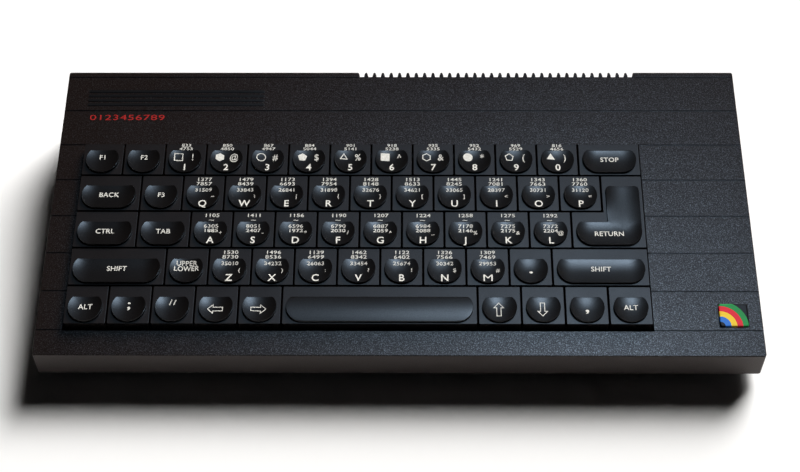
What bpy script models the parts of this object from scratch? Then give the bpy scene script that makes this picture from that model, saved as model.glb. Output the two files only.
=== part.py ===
"""Vintage home computer: a sloping two-part case with a full moulded keyboard, its circuit board,
two fold-out rear legs and a reset button.

The frame is in metres with +Z up, +X to the user's right and +Y to the rear. The origin lies on the
table under the middle of the case. Whatever belongs to the sloping top is parented to the deck, an
empty at the middle of the rear top edge: its -Y runs down the slope and its +Z stands square to it.
"""

import math

import bmesh
import bpy
from mathutils import Matrix, Vector

# Keyboard grid, on the slope
KEY_PITCH = 0.01913
ROW_PITCH = 0.0191
KEY_GAP = 0.0008
WELL_SIDE_GAP = 0.0005
WELL_REAR_GAP = 0.0001
WELL_FRONT_GAP = 0.0013

# Outer case
SLOPE = math.radians(7.0)
LEFT_PANEL = 0.0119
RIGHT_PANEL = 0.0478
REAR_MARGIN = 0.0031
FRONT_STRIP = 0.0120
FRONT_FACE = 0.0143
FOOT_HEIGHT = 0.0026
FLOOR_THICK = 0.0025
CASE_WALL = 0.0025
CORNER_RADIUS = 0.0012
EDGE_RADIUS = 0.0005
FIT = 0.0003
OVERRUN = 0.0020
ROOT = 0.0005

# Fine grooves across the top
GROOVE_WIDTH = 0.0006
GROOVE_DEPTH = 0.0004
FULL_GROOVES = 2

# Vent slots at the rear edge
VENT_COUNT = 33
VENT_PITCH = 0.00402
VENT_WIDTH = 0.0029
VENT_ROOT_WIDTH = 0.0025
VENT_DROP = 0.0070

# Recess of the small badge at the lower right
BADGE_WIDTH = 0.0130
BADGE_DEPTH = 0.0115
BADGE_RECESS = 0.0006
BADGE_FROM_SIDE = 0.0126
BADGE_FROM_GROOVE = 0.0073

# Collar round the keyboard well and the key frame under it
COLLAR_WALL = 0.0016
COLLAR_DEPTH = 0.0059
FRAME_LIP = 0.0022
FRAME_PLATE = 0.0020
FRAME_WALL = 0.0012
FRAME_DEPTH = 0.0065
GUIDE_GAP = 0.0004

# Keys
KEY_TRAVEL = 0.0030
KEY_BASE = 0.0036
KEY_SKIRT = 0.0028
KEY_WALL = 0.0013
KEY_TOP = 0.0015
FIRST_ROW_TRIM = 0.0017
STEM_WIDTH = 0.0056
STEM_DEPTH = 0.0094
PAD_SIDE = 0.0016
PAD_FRONT = 0.0006
PAD_LEDGE = 0.0055
PAD_FLAT = 0.0006
PAD_REAR_CORNER = 0.0010
PAD_STEP = 0.0002
LIP_RISE = 0.0011
SIDE_RISE = 0.0012
SPACE_EDGE_RISE = 0.0011
SPACE_CROWN = 0.0005
ENTER_BLEND = 0.0040
ENTER_CORNER = 0.0025
PAD_CUT_SHARE = 0.9
PAD_RING_SHARE = 0.24
PAD_ARC_STEPS = 5
ENTER_CORNER_STEPS = 2

# Circuit board and what is soldered to it
BOARD_WIDTH = 0.2240
BOARD_DEPTH = 0.0910
BOARD_THICK = 0.0016
BOARD_STANDOFF = 0.0022
BOARD_REAR_GAP = 0.0060
TONGUE_WIDTH = 0.0640
TONGUE_CENTRE = 0.0060
TONGUE_SETBACK = 0.0012
SLOT_SIDE_GAP = 0.0050
SLOT_HEADROOM = 0.0110
SOCKET_GAP = 0.0004
SOCKET_SETBACK = 0.0006
JACK_WIDTH = 0.0110
JACK_HEIGHT = 0.0110
JACK_DEPTH = 0.0140
JACK_BORE = 0.0036
JACK_REACH = 0.0100
EAR_X = -0.0620
MIC_X = -0.0470
TV_X = -0.0850
TV_CAN_WIDTH = 0.0320
TV_CAN_DEPTH = 0.0240
TV_CAN_HEIGHT = 0.0165
TV_SOCKET_WIDTH = 0.0100
POWER_X = 0.0740
POWER_WIDTH = 0.0120
POWER_BORE = 0.0063
POWER_PIN = 0.0020
CHIP_WIDTH = 0.0140
CHIP_THICK = 0.0038
SHORT_CHIP = 0.0190
CHIP_GAP = 0.0038
CHIP_ROW_GAP = 0.0072
SINK_LENGTH = 0.0260
SINK_THICK = 0.0015
SINK_HEIGHT = 0.0150
SINK_FOOT = 0.0080
TAIL_SOCKET_WIDTH = 0.0240
TAIL_SOCKET_DEPTH = 0.0050
TAIL_SOCKET_HEIGHT = 0.0070

# Lower case
TRAY_WALL = 0.0018
TRAY_LIP = 0.0036
FLOOR_INSET = 0.0008
FLOOR_CHAMFER = 0.0018
FOOT_RADIUS = 0.0065
FOOT_TAPER = 0.0008
FOOT_INSET = 0.0140
POST_RADIUS = 0.0035
FRONT_POST_RADIUS = 0.0025
SCREW_HOLE = 0.0011
SCREW_DEPTH = 0.0050
SCREW_PASS = 0.0016
SCREW_HEAD = 0.0030
HEAD_DEPTH = 0.0015
STANDOFF_RADIUS = 0.0030

# Fold-out legs
LEG_CENTRE = 0.1330
LEG_WIDTH = 0.0260
LEG_LENGTH = 0.0240
LEG_THICK = 0.0034
LEG_BARREL = 0.0042
LEG_PIN = 0.0024
LEG_PIN_REACH = 0.0012
LEG_SIDE_GAP = 0.0005
LEG_HINGE_Y = 0.0500
POCKET_WALL = 0.0016
PIN_GAP = 0.0003

# Reset button in the left wall
RESET_Y = 0.0580
RESET_HEIGHT = 0.0150
RESET_RADIUS = 0.0024
RESET_FLANGE = 0.0036
RESET_FLANGE_THICK = 0.0010
RESET_STEM = 0.0014
RESET_STEM_LENGTH = 0.0020
RESET_TRAVEL = 0.0015
RESET_SETBACK = 0.0002
SWITCH_WIDTH = 0.0060
SWITCH_DEPTH = 0.0040

# Key rows: each name with its width as a share of the key pitch
FIRST_ROW_SHARES = (
    ("function_1", 1.0), ("function_2", 1.0), ("1", 1.0), ("2", 1.0), ("3", 1.0), ("4", 1.0),
    ("5", 1.0), ("6", 1.0), ("7", 1.0), ("8", 1.0), ("9", 1.0), ("0", 1.0), ("break", 1.5),
)
SECOND_ROW_SHARES = (
    ("delete", 1.5), ("graph", 1.0), ("q", 1.0), ("w", 1.0), ("e", 1.0), ("r", 1.0), ("t", 1.0),
    ("y", 1.0), ("u", 1.0), ("i", 1.0), ("o", 1.0), ("p", 1.0),
)
THIRD_ROW_SHARES = (
    ("extend", 1.5), ("edit", 1.25), ("a", 1.0), ("s", 1.0), ("d", 1.0), ("f", 1.0), ("g", 1.0),
    ("h", 1.0), ("j", 1.0), ("k", 1.0), ("l", 1.0), ("enter", 1.75),
)
FOURTH_ROW_SHARES = (
    ("shift_left", 2.25), ("caps_lock", 1.0), ("z", 1.0), ("x", 1.0), ("c", 1.0), ("v", 1.0),
    ("b", 1.0), ("n", 1.0), ("m", 1.0), ("full_stop", 1.0), ("shift_right", 2.25),
)
FIFTH_ROW_SHARES = (
    ("symbol_left", 1.0), ("semicolon", 1.0), ("quote", 1.0), ("left", 1.0), ("right", 1.0),
    ("space", 4.5), ("up", 1.0), ("down", 1.0), ("comma", 1.0), ("symbol_right", 1.0),
)
ROW_SHARES = (
    FIRST_ROW_SHARES, SECOND_ROW_SHARES, THIRD_ROW_SHARES, FOURTH_ROW_SHARES, FIFTH_ROW_SHARES,
)
FIELD_SHARE = 13.5
ENTER_ARM_SHARE = 1.0
SPACE_GUIDE_SHARE = 0.36
# Keys that double another key's work are moulded on the key frame, and the others slide in it
FIXED_KEYS = ("function_1", "function_2", "graph", "shift_right", "symbol_right")

# Places of the case screws, as shares of the half width and the half depth inside the walls
REAR_POST_SHARES = ((-0.74, 0.87), (0.74, 0.87))
SIDE_POST_SHARES = ((0.79, -0.60),)
FRONT_POST_SHARES = (-0.82, -0.12, 0.52)
# Places of the board's posts and chips, as shares of the half board
STANDOFF_SHARES = ((-0.92, -0.86), (0.92, -0.86), (-0.48, 0.06), (0.90, 0.72))
REAR_CHIP_SHARES = (-0.40, 0.10)
FRONT_CHIP_SHARE = 0.66
SHORT_CHIP_START_SHARE = -0.86
SHORT_CHIP_COUNT = 8
# Lengths and steps along the board, as shares of its width
LONG_CHIP_SHARE = 0.232
SHORT_CHIP_WIDTH_SHARE = 0.031
SHORT_CHIP_STEP_SHARE = 0.049

# Sides of round forms
ROUND_STEPS = 16
POST_STEPS = 12
HOLE_STEPS = 8
EDGE_STEPS = 2
TIP_STEPS = 3

# Sizes that follow from the ones above
KEY_ROWS = len(ROW_SHARES)
FIELD_WIDTH = FIELD_SHARE * KEY_PITCH
WELL_WIDTH = FIELD_WIDTH + 2 * WELL_SIDE_GAP
WELL_LENGTH = KEY_ROWS * ROW_PITCH + WELL_REAR_GAP + WELL_FRONT_GAP
GROOVE_PITCH = (WELL_LENGTH - GROOVE_WIDTH) / KEY_ROWS
WELL_REAR = REAR_MARGIN + FULL_GROOVES * GROOVE_PITCH - GROOVE_WIDTH / 2
WELL_FRONT = WELL_REAR + WELL_LENGTH
TOP_LENGTH = WELL_FRONT + FRONT_STRIP
CASE_WIDTH = LEFT_PANEL + WELL_WIDTH + RIGHT_PANEL
CASE_DEPTH = TOP_LENGTH * math.cos(SLOPE)
FLOOR_TOP = FOOT_HEIGHT + FLOOR_THICK
RIM_HEIGHT = FLOOR_TOP + FIT
CASE_HEIGHT = RIM_HEIGHT + FRONT_FACE + TOP_LENGTH * math.sin(SLOPE)
WELL_LEFT = LEFT_PANEL - CASE_WIDTH / 2
WELL_RIGHT = WELL_LEFT + WELL_WIDTH
FIELD_LEFT = WELL_LEFT + WELL_SIDE_GAP
FIELD_REAR = WELL_REAR + WELL_REAR_GAP
FRAME_TOP = COLLAR_DEPTH + FIT
INNER_X = CASE_WIDTH / 2 - CASE_WALL
INNER_Y = CASE_DEPTH / 2 - CASE_WALL
TRAY_TOP = FLOOR_TOP + TRAY_LIP
BOARD_BOTTOM = FLOOR_TOP + BOARD_STANDOFF + FIT
BOARD_TOP = BOARD_BOTTOM + BOARD_THICK
BOARD_REAR = INNER_Y - BOARD_REAR_GAP
SOCKET_FACE = CASE_DEPTH / 2 - SOCKET_SETBACK
LEG_AXIS_Z = FOOT_HEIGHT + LEG_BARREL / 2
POCKET_TOP = LEG_AXIS_Z + LEG_BARREL / 2 + FIT


# Scene and collections


def clear_scene():
    """Remove every object of the opened file."""
    for item in list(bpy.data.objects):
        bpy.data.objects.remove(item, do_unlink=True)


def new_collection(name):
    """Return a new collection linked to the scene."""
    collection = bpy.data.collections.new(name)
    bpy.context.scene.collection.children.link(collection)
    return collection


def material(name, colour, roughness, metallic=0.0):
    """Return a plain Principled material."""
    made = bpy.data.materials.new(name)
    made.use_nodes = True
    shader = made.node_tree.nodes["Principled BSDF"]
    shader.inputs["Base Color"].default_value = (*colour, 1.0)
    shader.inputs["Roughness"].default_value = roughness
    shader.inputs["Metallic"].default_value = metallic
    return made


# Mesh building blocks


def add_box(solid, low, high):
    """Add a box between two corners to an open bmesh."""
    low = Vector(low)
    high = Vector(high)
    place = Matrix.Translation((low + high) / 2) @ Matrix.Diagonal((*(high - low), 1.0))
    bmesh.ops.create_cube(solid, size=1.0, matrix=place)


def add_cylinder(solid, radius, start, end, steps, end_radius=None):
    """Add a cylinder or cone between two points to an open bmesh."""
    start = Vector(start)
    end = Vector(end)
    turn = (end - start).to_track_quat("Z", "Y").to_matrix().to_4x4()
    place = Matrix.Translation((start + end) / 2) @ turn
    last = radius if end_radius is None else end_radius
    bmesh.ops.create_cone(
        solid, cap_ends=True, segments=steps, radius1=radius, radius2=last,
        depth=(end - start).length, matrix=place,
    )


def to_mesh(solid, name):
    """Close a bmesh into a mesh with its faces pointing out."""
    bmesh.ops.recalc_face_normals(solid, faces=solid.faces)
    mesh = bpy.data.meshes.new(name)
    solid.to_mesh(mesh)
    solid.free()
    return mesh


def boxes(name, corners):
    """Return one mesh of separate boxes, each given by its low and high corners."""
    solid = bmesh.new()
    for low, high in corners:
        add_box(solid, low, high)
    return to_mesh(solid, name)


def corner_arc(before, corner, after, radius, steps):
    """Return the points that round a corner between the points before and after it."""
    before = (before - corner).normalized()
    after = (after - corner).normalized()
    half = before.angle(after) / 2
    reach = radius / math.tan(half)
    centre = corner + (before + after).normalized() * radius / math.sin(half)
    first = corner + before * reach - centre
    last = corner + after * reach - centre
    turn = first.angle_signed(last)
    return [centre + Matrix.Rotation(-turn * step / steps, 2) @ first for step in range(steps + 1)]


def prism(outline, low, high):
    """Return an outline extruded from one height to another, as a bmesh."""
    solid = bmesh.new()
    corners = [solid.verts.new((point[0], point[1], low)) for point in outline]
    base = solid.faces.new(corners)
    grown = bmesh.ops.extrude_face_region(solid, geom=[base])
    top = [part for part in grown["geom"] if isinstance(part, bmesh.types.BMVert)]
    bmesh.ops.translate(solid, verts=top, vec=(0.0, 0.0, high - low))
    return solid


# Objects and their modifiers


def place(name, mesh, collection, finish=None, parent=None):
    """Return a new object in a collection."""
    item = bpy.data.objects.new(name, mesh)
    collection.objects.link(item)
    item.parent = parent
    if finish is not None and not mesh.materials:
        mesh.materials.append(finish)
    return item


def cutter(name, mesh, parent=None):
    """Return a hidden helper object that another object cuts or joins."""
    item = place(name, mesh, CUTTERS, parent=parent)
    item.hide_render = True
    item.display_type = "WIRE"
    return item


def combine(target, tool, operation):
    """Add a Boolean of the tool to the target."""
    step = target.modifiers.new(tool.name, "BOOLEAN")
    step.operation = operation
    step.solver = "EXACT"
    step.object = tool


def surface_height(y):
    """Return the height of the sloping top above the table at a depth."""
    return CASE_HEIGHT - (CASE_DEPTH / 2 - y) * math.tan(SLOPE)


# Keys


def key_base_outline(width, length, inset):
    """Return the corners of a plain key's base, centred, drawn in by an inset."""
    x = width / 2 - inset
    y = length / 2 - inset
    return [(-x, y), (-x, -y), (x, -y), (x, y)]


def enter_base_outline(inset):
    """Return the corners of the L-shaped base, from its lower bar's centre, drawn in by an inset."""
    x = ENTER_WIDTH / 2 - inset
    arm = ENTER_WIDTH / 2 - ENTER_ARM_WIDTH + inset
    front = inset - PLAIN_LENGTH / 2
    step = PLAIN_LENGTH / 2 - inset
    rear = step + ROW_PITCH
    return [(-x, step), (-x, front), (x, front), (x, rear), (arm, rear), (arm, step)]


def pad_end(side, width, rear, front, inset):
    """Return the points of a pad's round end, from its front edge to the rear edge that cuts it off.

    The side is -1 for the left end and 1 for the right one.
    """
    radius = PAD_RADIUS - inset
    middle = Vector((side * (width / 2 - PAD_SIDE - PAD_RADIUS), front + PAD_RADIUS))
    reach = rear - inset - middle.y
    cut = min(reach, PAD_CUT_SHARE * radius)
    turn = math.pi / 2 + math.asin((cut - PAD_REAR_CORNER) / radius)
    points = []
    for step in range(PAD_ARC_STEPS + 1):
        angle = turn * step / PAD_ARC_STEPS
        points.append(middle + radius * Vector((side * math.sin(angle), -math.cos(angle))))
    chord = math.sqrt(radius ** 2 - cut ** 2)
    points.append(middle + Vector((side * (chord - PAD_REAR_CORNER), reach)))
    return points


def pad_outline(width, rear, front, inset=0.0):
    """Return a pad's outline, drawn in by an inset: two round ends, cut off straight at the rear."""
    left = pad_end(-1, width, rear, front, inset)
    right = pad_end(1, width, rear, front, inset)
    return left[::-1] + right


def enter_pad_outline(rear, front, inset=0.0):
    """Return the outline of the L-shaped pad, drawn in by an inset."""
    x = ENTER_WIDTH / 2 - PAD_SIDE - inset
    y = rear - inset
    arm = ENTER_WIDTH / 2 - ENTER_ARM_WIDTH + PAD_SIDE + inset
    points = pad_end(-1, ENTER_WIDTH, rear, front, inset)[::-1]
    corners = (
        (x, front + inset, PAD_RADIUS - inset, PAD_ARC_STEPS - 1),
        (x, y + ROW_PITCH, ENTER_CORNER, ENTER_CORNER_STEPS),
        (arm, y + ROW_PITCH, ENTER_CORNER, ENTER_CORNER_STEPS),
        (arm, y, PAD_REAR_CORNER, 1),
    )
    path = [points[-1], *(Vector(corner[:2]) for corner in corners), points[0]]
    for index, (_, _, radius, steps) in enumerate(corners):
        points += corner_arc(*path[index:index + 3], radius, steps)
    return points


def dish_height(x, y, width, rear, front):
    """Return the height of a dished pad: low at its straight rear edge, with a lip at the front."""
    forward = min(max((rear - y) / (rear - front), 0.0), 1.0)
    flat = max(width / 2 - PAD_SIDE - PAD_RADIUS, 0.0)
    aside = max(abs(x) - flat, 0.0) / PAD_RADIUS
    return KEY_BASE + PAD_STEP + LIP_RISE * forward ** 2 + SIDE_RISE * aside ** 2


def enter_dish_height(x, y, rear, front):
    """Return the height of the L-shaped pad, whose arm is a trough behind the lower bar."""
    if y <= rear:
        return dish_height(x, y, ENTER_WIDTH, rear, front)
    middle = ENTER_WIDTH / 2 - ENTER_ARM_WIDTH / 2
    aside = min(abs(x - middle) / (ENTER_ARM_WIDTH / 2 - PAD_SIDE), 1.0)
    ramp = min((y - rear) / ENTER_BLEND, 1.0) if x < middle else 1.0
    return KEY_BASE + PAD_STEP + SIDE_RISE * ramp * aside ** 2


def crown_height(x, y, width, rear, front):
    """Return the height of the space bar's pad, which is crowned across its depth."""
    across = (2 * y - rear - front) / (rear - front)
    return KEY_BASE + SPACE_EDGE_RISE + SPACE_CROWN * (1.0 - across ** 2)


def pad_solid(name, outline, inner, height, poke):
    """Return a pad: its outline raised, an inner ring on it, and its top set to a height function."""
    solid = bmesh.new()
    levels = ((outline, KEY_BASE - ROOT), (outline, KEY_BASE), (inner, KEY_BASE))
    rings = [[solid.verts.new((x, y, z)) for x, y in points] for points, z in levels]
    for low, high in zip(rings, rings[1:]):
        for index in range(len(low)):
            solid.faces.new((low[index - 1], low[index], high[index], high[index - 1]))
    solid.faces.new(rings[0])
    top = solid.faces.new(rings[-1])
    if poke:
        bmesh.ops.poke(solid, faces=[top])
    bmesh.ops.triangulate(solid, faces=[face for face in solid.faces if len(face.verts) > 4])
    for vert in solid.verts:
        if vert.co.z > KEY_BASE - ROOT / 2:
            vert.co.z = height(vert.co.x, vert.co.y)
    return to_mesh(solid, name)


def finished_mesh(name, item, helpers):
    """Return an object's mesh with its modifiers done, and remove the object and its helpers."""
    bpy.context.view_layer.update()
    evaluated = item.evaluated_get(bpy.context.evaluated_depsgraph_get())
    mesh = bpy.data.meshes.new_from_object(evaluated)
    mesh.name = name
    for each in (item, *helpers):
        bpy.data.objects.remove(each, do_unlink=True)
    return mesh


def key_mesh(name, outer, inner, pad, stems):
    """Return the mesh of one key: a hollow cap with its pad on top and its stems inside."""
    cap = cutter(f"{name}_cap", to_mesh(prism(outer, -KEY_SKIRT, KEY_BASE), name))
    hollow_top = KEY_BASE - KEY_TOP
    hollow_solid = prism(inner, -KEY_SKIRT - OVERRUN, hollow_top)
    hollow = cutter(f"{name}_hollow", to_mesh(hollow_solid, name))
    raised = cutter(f"{name}_pad", pad)
    half = STEM_WIDTH / 2
    legs = boxes(name, [
        ((x - half, y - half, -STEM_DEPTH), (x + half, y + half, hollow_top + ROOT))
        for x, y in stems
    ])
    stem = cutter(f"{name}_stem", legs)
    combine(cap, hollow, "DIFFERENCE")
    combine(cap, raised, "UNION")
    combine(cap, stem, "UNION")
    return finished_mesh(name, cap, (hollow, raised, stem))


def plain_key(kind, share, row):
    """Return the mesh of a straight key of some kind and width in some row."""
    width = share * KEY_PITCH - KEY_GAP
    length = PLAIN_LENGTH - (FIRST_ROW_TRIM if row == 0 else 0.0)
    rear = PLAIN_LENGTH / 2 - PAD_LEDGE
    front = PAD_FRONT - PLAIN_LENGTH / 2
    shift = (PLAIN_LENGTH - length) / 2
    outer = [(x, y - shift) for x, y in key_base_outline(width, length, 0.0)]
    inner = [(x, y - shift) for x, y in key_base_outline(width, length, KEY_WALL)]
    stems = [(0.0, 0.0)]
    if kind == "space":
        guide = SPACE_GUIDE_SHARE * width
        stems += [(-guide, 0.0), (guide, 0.0)]
    form = crown_height if kind == "space" else dish_height
    ring = PAD_RING_SHARE * (rear - front)
    pad = pad_solid(
        kind, pad_outline(width, rear, front), pad_outline(width, rear, front, ring),
        lambda x, y: form(x, y, width, rear, front), True,
    )
    return key_mesh(kind, outer, inner, pad, stems)


def enter_key(name):
    """Return the mesh of the L-shaped key over two rows."""
    rear = PLAIN_LENGTH / 2 - PAD_LEDGE
    front = PAD_FRONT - PLAIN_LENGTH / 2
    ring = PAD_RING_SHARE * (rear - front)
    pad = pad_solid(
        name, enter_pad_outline(rear, front), enter_pad_outline(rear, front, ring),
        lambda x, y: enter_dish_height(x, y, rear, front), False,
    )
    return key_mesh(name, enter_base_outline(0.0), enter_base_outline(KEY_WALL), pad, [(0.0, 0.0)])


def key_places():
    """Return each key's name, row, width share and place on the deck."""
    places = []
    for row, shares in enumerate(ROW_SHARES):
        start = 0.0
        down = FIELD_REAR + (row + 0.5) * ROW_PITCH
        for name, share in shares:
            x = FIELD_LEFT + (start + share / 2) * KEY_PITCH
            places.append((name, row, share, Vector((x, -down, 0.0))))
            start += share
    return places


def build_keys(finish):
    """Make the keys that slide, and return helpers for those moulded on the key frame."""
    meshes = {}
    fixed = []
    for name, row, share, spot in key_places():
        kind = name if name in ("space", "enter") else f"key_{share:g}_row_{min(row, 1)}"
        if kind not in meshes:
            meshes[kind] = enter_key(kind) if name == "enter" else plain_key(kind, share, row)
        if name in FIXED_KEYS:
            item = cutter(f"fixed_{name}", meshes[kind], DECK)
            fixed.append(item)
        else:
            item = place(f"key_{name}", meshes[kind], PARTS, finish, DECK)
        item.location = spot
    return fixed


# Key frame


def build_key_frame(finish, fixed_keys):
    """Make the plate under the well, with a square guide for each stem and a rim below."""
    left = WELL_LEFT - FRAME_LIP
    right = WELL_RIGHT + FRAME_LIP
    rear = -(WELL_REAR - FRAME_LIP)
    front = -(WELL_FRONT + FRAME_LIP)
    plate_bottom = -FRAME_TOP - FRAME_PLATE
    frame_bottom = -FRAME_TOP - FRAME_DEPTH
    plate = boxes("key_frame", [((left, front, frame_bottom), (right, rear, -FRAME_TOP))])
    frame = place("key_frame", plate, PARTS, finish, DECK)
    hollow = boxes("frame_hollow", [(
        (left + FRAME_WALL, front + FRAME_WALL, frame_bottom - OVERRUN),
        (right - FRAME_WALL, rear - FRAME_WALL, plate_bottom),
    )])
    combine(frame, cutter("frame_hollow", hollow, DECK), "DIFFERENCE")
    half = STEM_WIDTH / 2 + GUIDE_GAP
    holes = []
    for name, _, share, spot in key_places():
        if name in FIXED_KEYS:
            continue
        guide = SPACE_GUIDE_SHARE * (share * KEY_PITCH - KEY_GAP)
        for aside in ((-guide, 0.0, guide) if name == "space" else (0.0,)):
            x = spot.x + aside
            holes.append((
                (x - half, spot.y - half, plate_bottom - OVERRUN),
                (x + half, spot.y + half, -FRAME_TOP + OVERRUN),
            ))
    combine(frame, cutter("frame_guides", boxes("frame_guides", holes), DECK), "DIFFERENCE")
    for item in fixed_keys:
        combine(frame, item, "UNION")
    return frame


# Upper case


def case_skin():
    """Return the upper case's open outer skin: sides and a top that slopes down to the front."""
    solid = bmesh.new()
    add_box(
        solid, (-CASE_WIDTH / 2, -CASE_DEPTH / 2, RIM_HEIGHT), (CASE_WIDTH / 2, CASE_DEPTH / 2, CASE_HEIGHT),
    )
    drop = CASE_DEPTH * math.tan(SLOPE)
    top = [vert for vert in solid.verts if vert.co.z > (RIM_HEIGHT + CASE_HEIGHT) / 2]
    front_edge = [vert for vert in top if vert.co.y < 0.0]
    bmesh.ops.translate(solid, verts=front_edge, vec=(0.0, 0.0, -drop))
    floor = [face for face in solid.faces if not any(vert in top for vert in face.verts)]
    bmesh.ops.delete(solid, geom=floor, context="FACES_ONLY")
    weight = solid.edges.layers.float.new("bevel_weight_edge")
    for edge in solid.edges:
        ends = [vert in top for vert in edge.verts]
        if all(ends):
            edge[weight] = EDGE_RADIUS / CORNER_RADIUS
        elif any(ends):
            edge[weight] = 1.0
    return to_mesh(solid, "upper_case")


def vent_comb():
    """Return the cutter of the vent slots, which open through the rear top edge."""
    solid = bmesh.new()
    reach = REAR_MARGIN
    for index in range(VENT_COUNT):
        x = WELL_RIGHT - VENT_WIDTH / 2 - index * VENT_PITCH
        outline = [
            (x - VENT_WIDTH / 2, 0.0), (x - VENT_ROOT_WIDTH / 2, -reach),
            (x + VENT_ROOT_WIDTH / 2, -reach), (x + VENT_WIDTH / 2, 0.0),
            (x + VENT_WIDTH / 2, OVERRUN), (x - VENT_WIDTH / 2, OVERRUN),
        ]
        slot = prism(outline, -VENT_DROP, OVERRUN)
        mesh = to_mesh(slot, "vent")
        solid.from_mesh(mesh)
        bpy.data.meshes.remove(mesh)
    return to_mesh(solid, "vent_comb")


def groove_lines():
    """Return the cutter of the grooves: some across the whole top, the others beside the well."""
    outside = CASE_WIDTH / 2 + OVERRUN
    lines = []
    for index in range(FULL_GROOVES + KEY_ROWS + 1):
        down = REAR_MARGIN + index * GROOVE_PITCH
        spans = [(-outside, outside)]
        if index >= FULL_GROOVES:
            spans = [(-outside, WELL_LEFT + WELL_SIDE_GAP), (WELL_RIGHT - WELL_SIDE_GAP, outside)]
        for left, right in spans:
            lines.append((
                (left, -down - GROOVE_WIDTH / 2, -GROOVE_DEPTH),
                (right, -down + GROOVE_WIDTH / 2, OVERRUN),
            ))
    return boxes("groove_lines", lines)


def post_places():
    """Return each case screw's place and its post's radius."""
    places = []
    for across, along in REAR_POST_SHARES + SIDE_POST_SHARES:
        places.append((across * INNER_X, along * INNER_Y, POST_RADIUS))
    front_y = -INNER_Y + FIT + TRAY_WALL + GUIDE_GAP + FRONT_POST_RADIUS
    for across in FRONT_POST_SHARES:
        places.append((across * INNER_X, front_y, FRONT_POST_RADIUS))
    return places


def case_posts():
    """Return the screw posts that hang from the inside of the top."""
    solid = bmesh.new()
    for x, y, radius in post_places():
        top = surface_height(y - radius) - CASE_WALL / 2
        add_cylinder(solid, radius, (x, y, TRAY_TOP + FIT), (x, y, top), POST_STEPS)
    return to_mesh(solid, "case_posts")


def case_screw_holes():
    """Return the blind holes in the posts."""
    solid = bmesh.new()
    for x, y, _ in post_places():
        start = (x, y, TRAY_TOP + FIT - OVERRUN)
        add_cylinder(solid, SCREW_HOLE, start, (x, y, TRAY_TOP + FIT + SCREW_DEPTH), HOLE_STEPS)
    return to_mesh(solid, "case_screw_holes")


def socket_windows():
    """Return the cut-outs that drop over the sockets, open at the rim."""
    windows = []
    jack_top = BOARD_TOP + JACK_HEIGHT + SOCKET_GAP
    tops = (
        (TV_X, TV_SOCKET_WIDTH / 2 + SOCKET_GAP, jack_top),
        (EAR_X, JACK_WIDTH / 2 + SOCKET_GAP, jack_top),
        (MIC_X, JACK_WIDTH / 2 + SOCKET_GAP, jack_top),
        (POWER_X, POWER_WIDTH / 2 + SOCKET_GAP, jack_top),
        (TONGUE_CENTRE, TONGUE_WIDTH / 2 + SLOT_SIDE_GAP, BOARD_TOP + SLOT_HEADROOM),
    )
    for x, half, top in tops:
        windows.append((
            (x - half, INNER_Y - OVERRUN, RIM_HEIGHT - OVERRUN),
            (x + half, CASE_DEPTH / 2 + OVERRUN, top),
        ))
    return boxes("socket_windows", windows)


def build_upper_case(finish):
    """Make the upper case as a shell with its collar, posts, grooves and cut-outs."""
    case = place("upper_case", case_skin(), PARTS, finish)
    wall = case.modifiers.new("Wall", "SOLIDIFY")
    wall.thickness = CASE_WALL
    wall.offset = -1.0
    wall.use_even_offset = True
    edges = case.modifiers.new("Edges", "BEVEL")
    edges.width = CORNER_RADIUS
    edges.segments = EDGE_STEPS
    edges.limit_method = "WEIGHT"
    collar = boxes("well_collar", [(
        (WELL_LEFT - COLLAR_WALL, -WELL_FRONT - COLLAR_WALL, -COLLAR_DEPTH),
        (WELL_RIGHT + COLLAR_WALL, -WELL_REAR + COLLAR_WALL, -CASE_WALL / 2),
    )])
    combine(case, cutter("well_collar", collar, DECK), "UNION")
    combine(case, cutter("case_posts", case_posts()), "UNION")
    well = boxes("well", [(
        (WELL_LEFT, -WELL_FRONT, -COLLAR_DEPTH - OVERRUN), (WELL_RIGHT, -WELL_REAR, OVERRUN),
    )])
    combine(case, cutter("well", well, DECK), "DIFFERENCE")
    combine(case, cutter("groove_lines", groove_lines(), DECK), "DIFFERENCE")
    combine(case, cutter("vent_comb", vent_comb(), DECK), "DIFFERENCE")
    last_groove = REAR_MARGIN + (FULL_GROOVES + KEY_ROWS) * GROOVE_PITCH
    badge_x = CASE_WIDTH / 2 - BADGE_FROM_SIDE
    badge_y = BADGE_FROM_GROOVE - last_groove
    recess = boxes("badge_recess", [(
        (badge_x - BADGE_WIDTH / 2, badge_y - BADGE_DEPTH / 2, -BADGE_RECESS),
        (badge_x + BADGE_WIDTH / 2, badge_y + BADGE_DEPTH / 2, OVERRUN),
    )])
    combine(case, cutter("badge_recess", recess, DECK), "DIFFERENCE")
    combine(case, cutter("socket_windows", socket_windows()), "DIFFERENCE")
    combine(case, cutter("case_screw_holes", case_screw_holes()), "DIFFERENCE")
    solid = bmesh.new()
    start = (-CASE_WIDTH / 2 - OVERRUN, RESET_Y, RESET_HEIGHT)
    end = (-INNER_X + OVERRUN, RESET_Y, RESET_HEIGHT)
    add_cylinder(solid, RESET_RADIUS + FIT, start, end, ROUND_STEPS)
    combine(case, cutter("reset_hole", to_mesh(solid, "reset_hole")), "DIFFERENCE")
    return case


# Lower case


def leg_spans():
    """Return the low and high x of each leg."""
    half = LEG_WIDTH / 2
    return [(side * LEG_CENTRE - half, side * LEG_CENTRE + half) for side in (-1, 1)]


def foot_places():
    """Return the centre of each foot."""
    x = CASE_WIDTH / 2 - FOOT_INSET
    y = CASE_DEPTH / 2 - FOOT_INSET
    return [(-x, -y), (x, -y), (-x, y), (x, y)]


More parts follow.
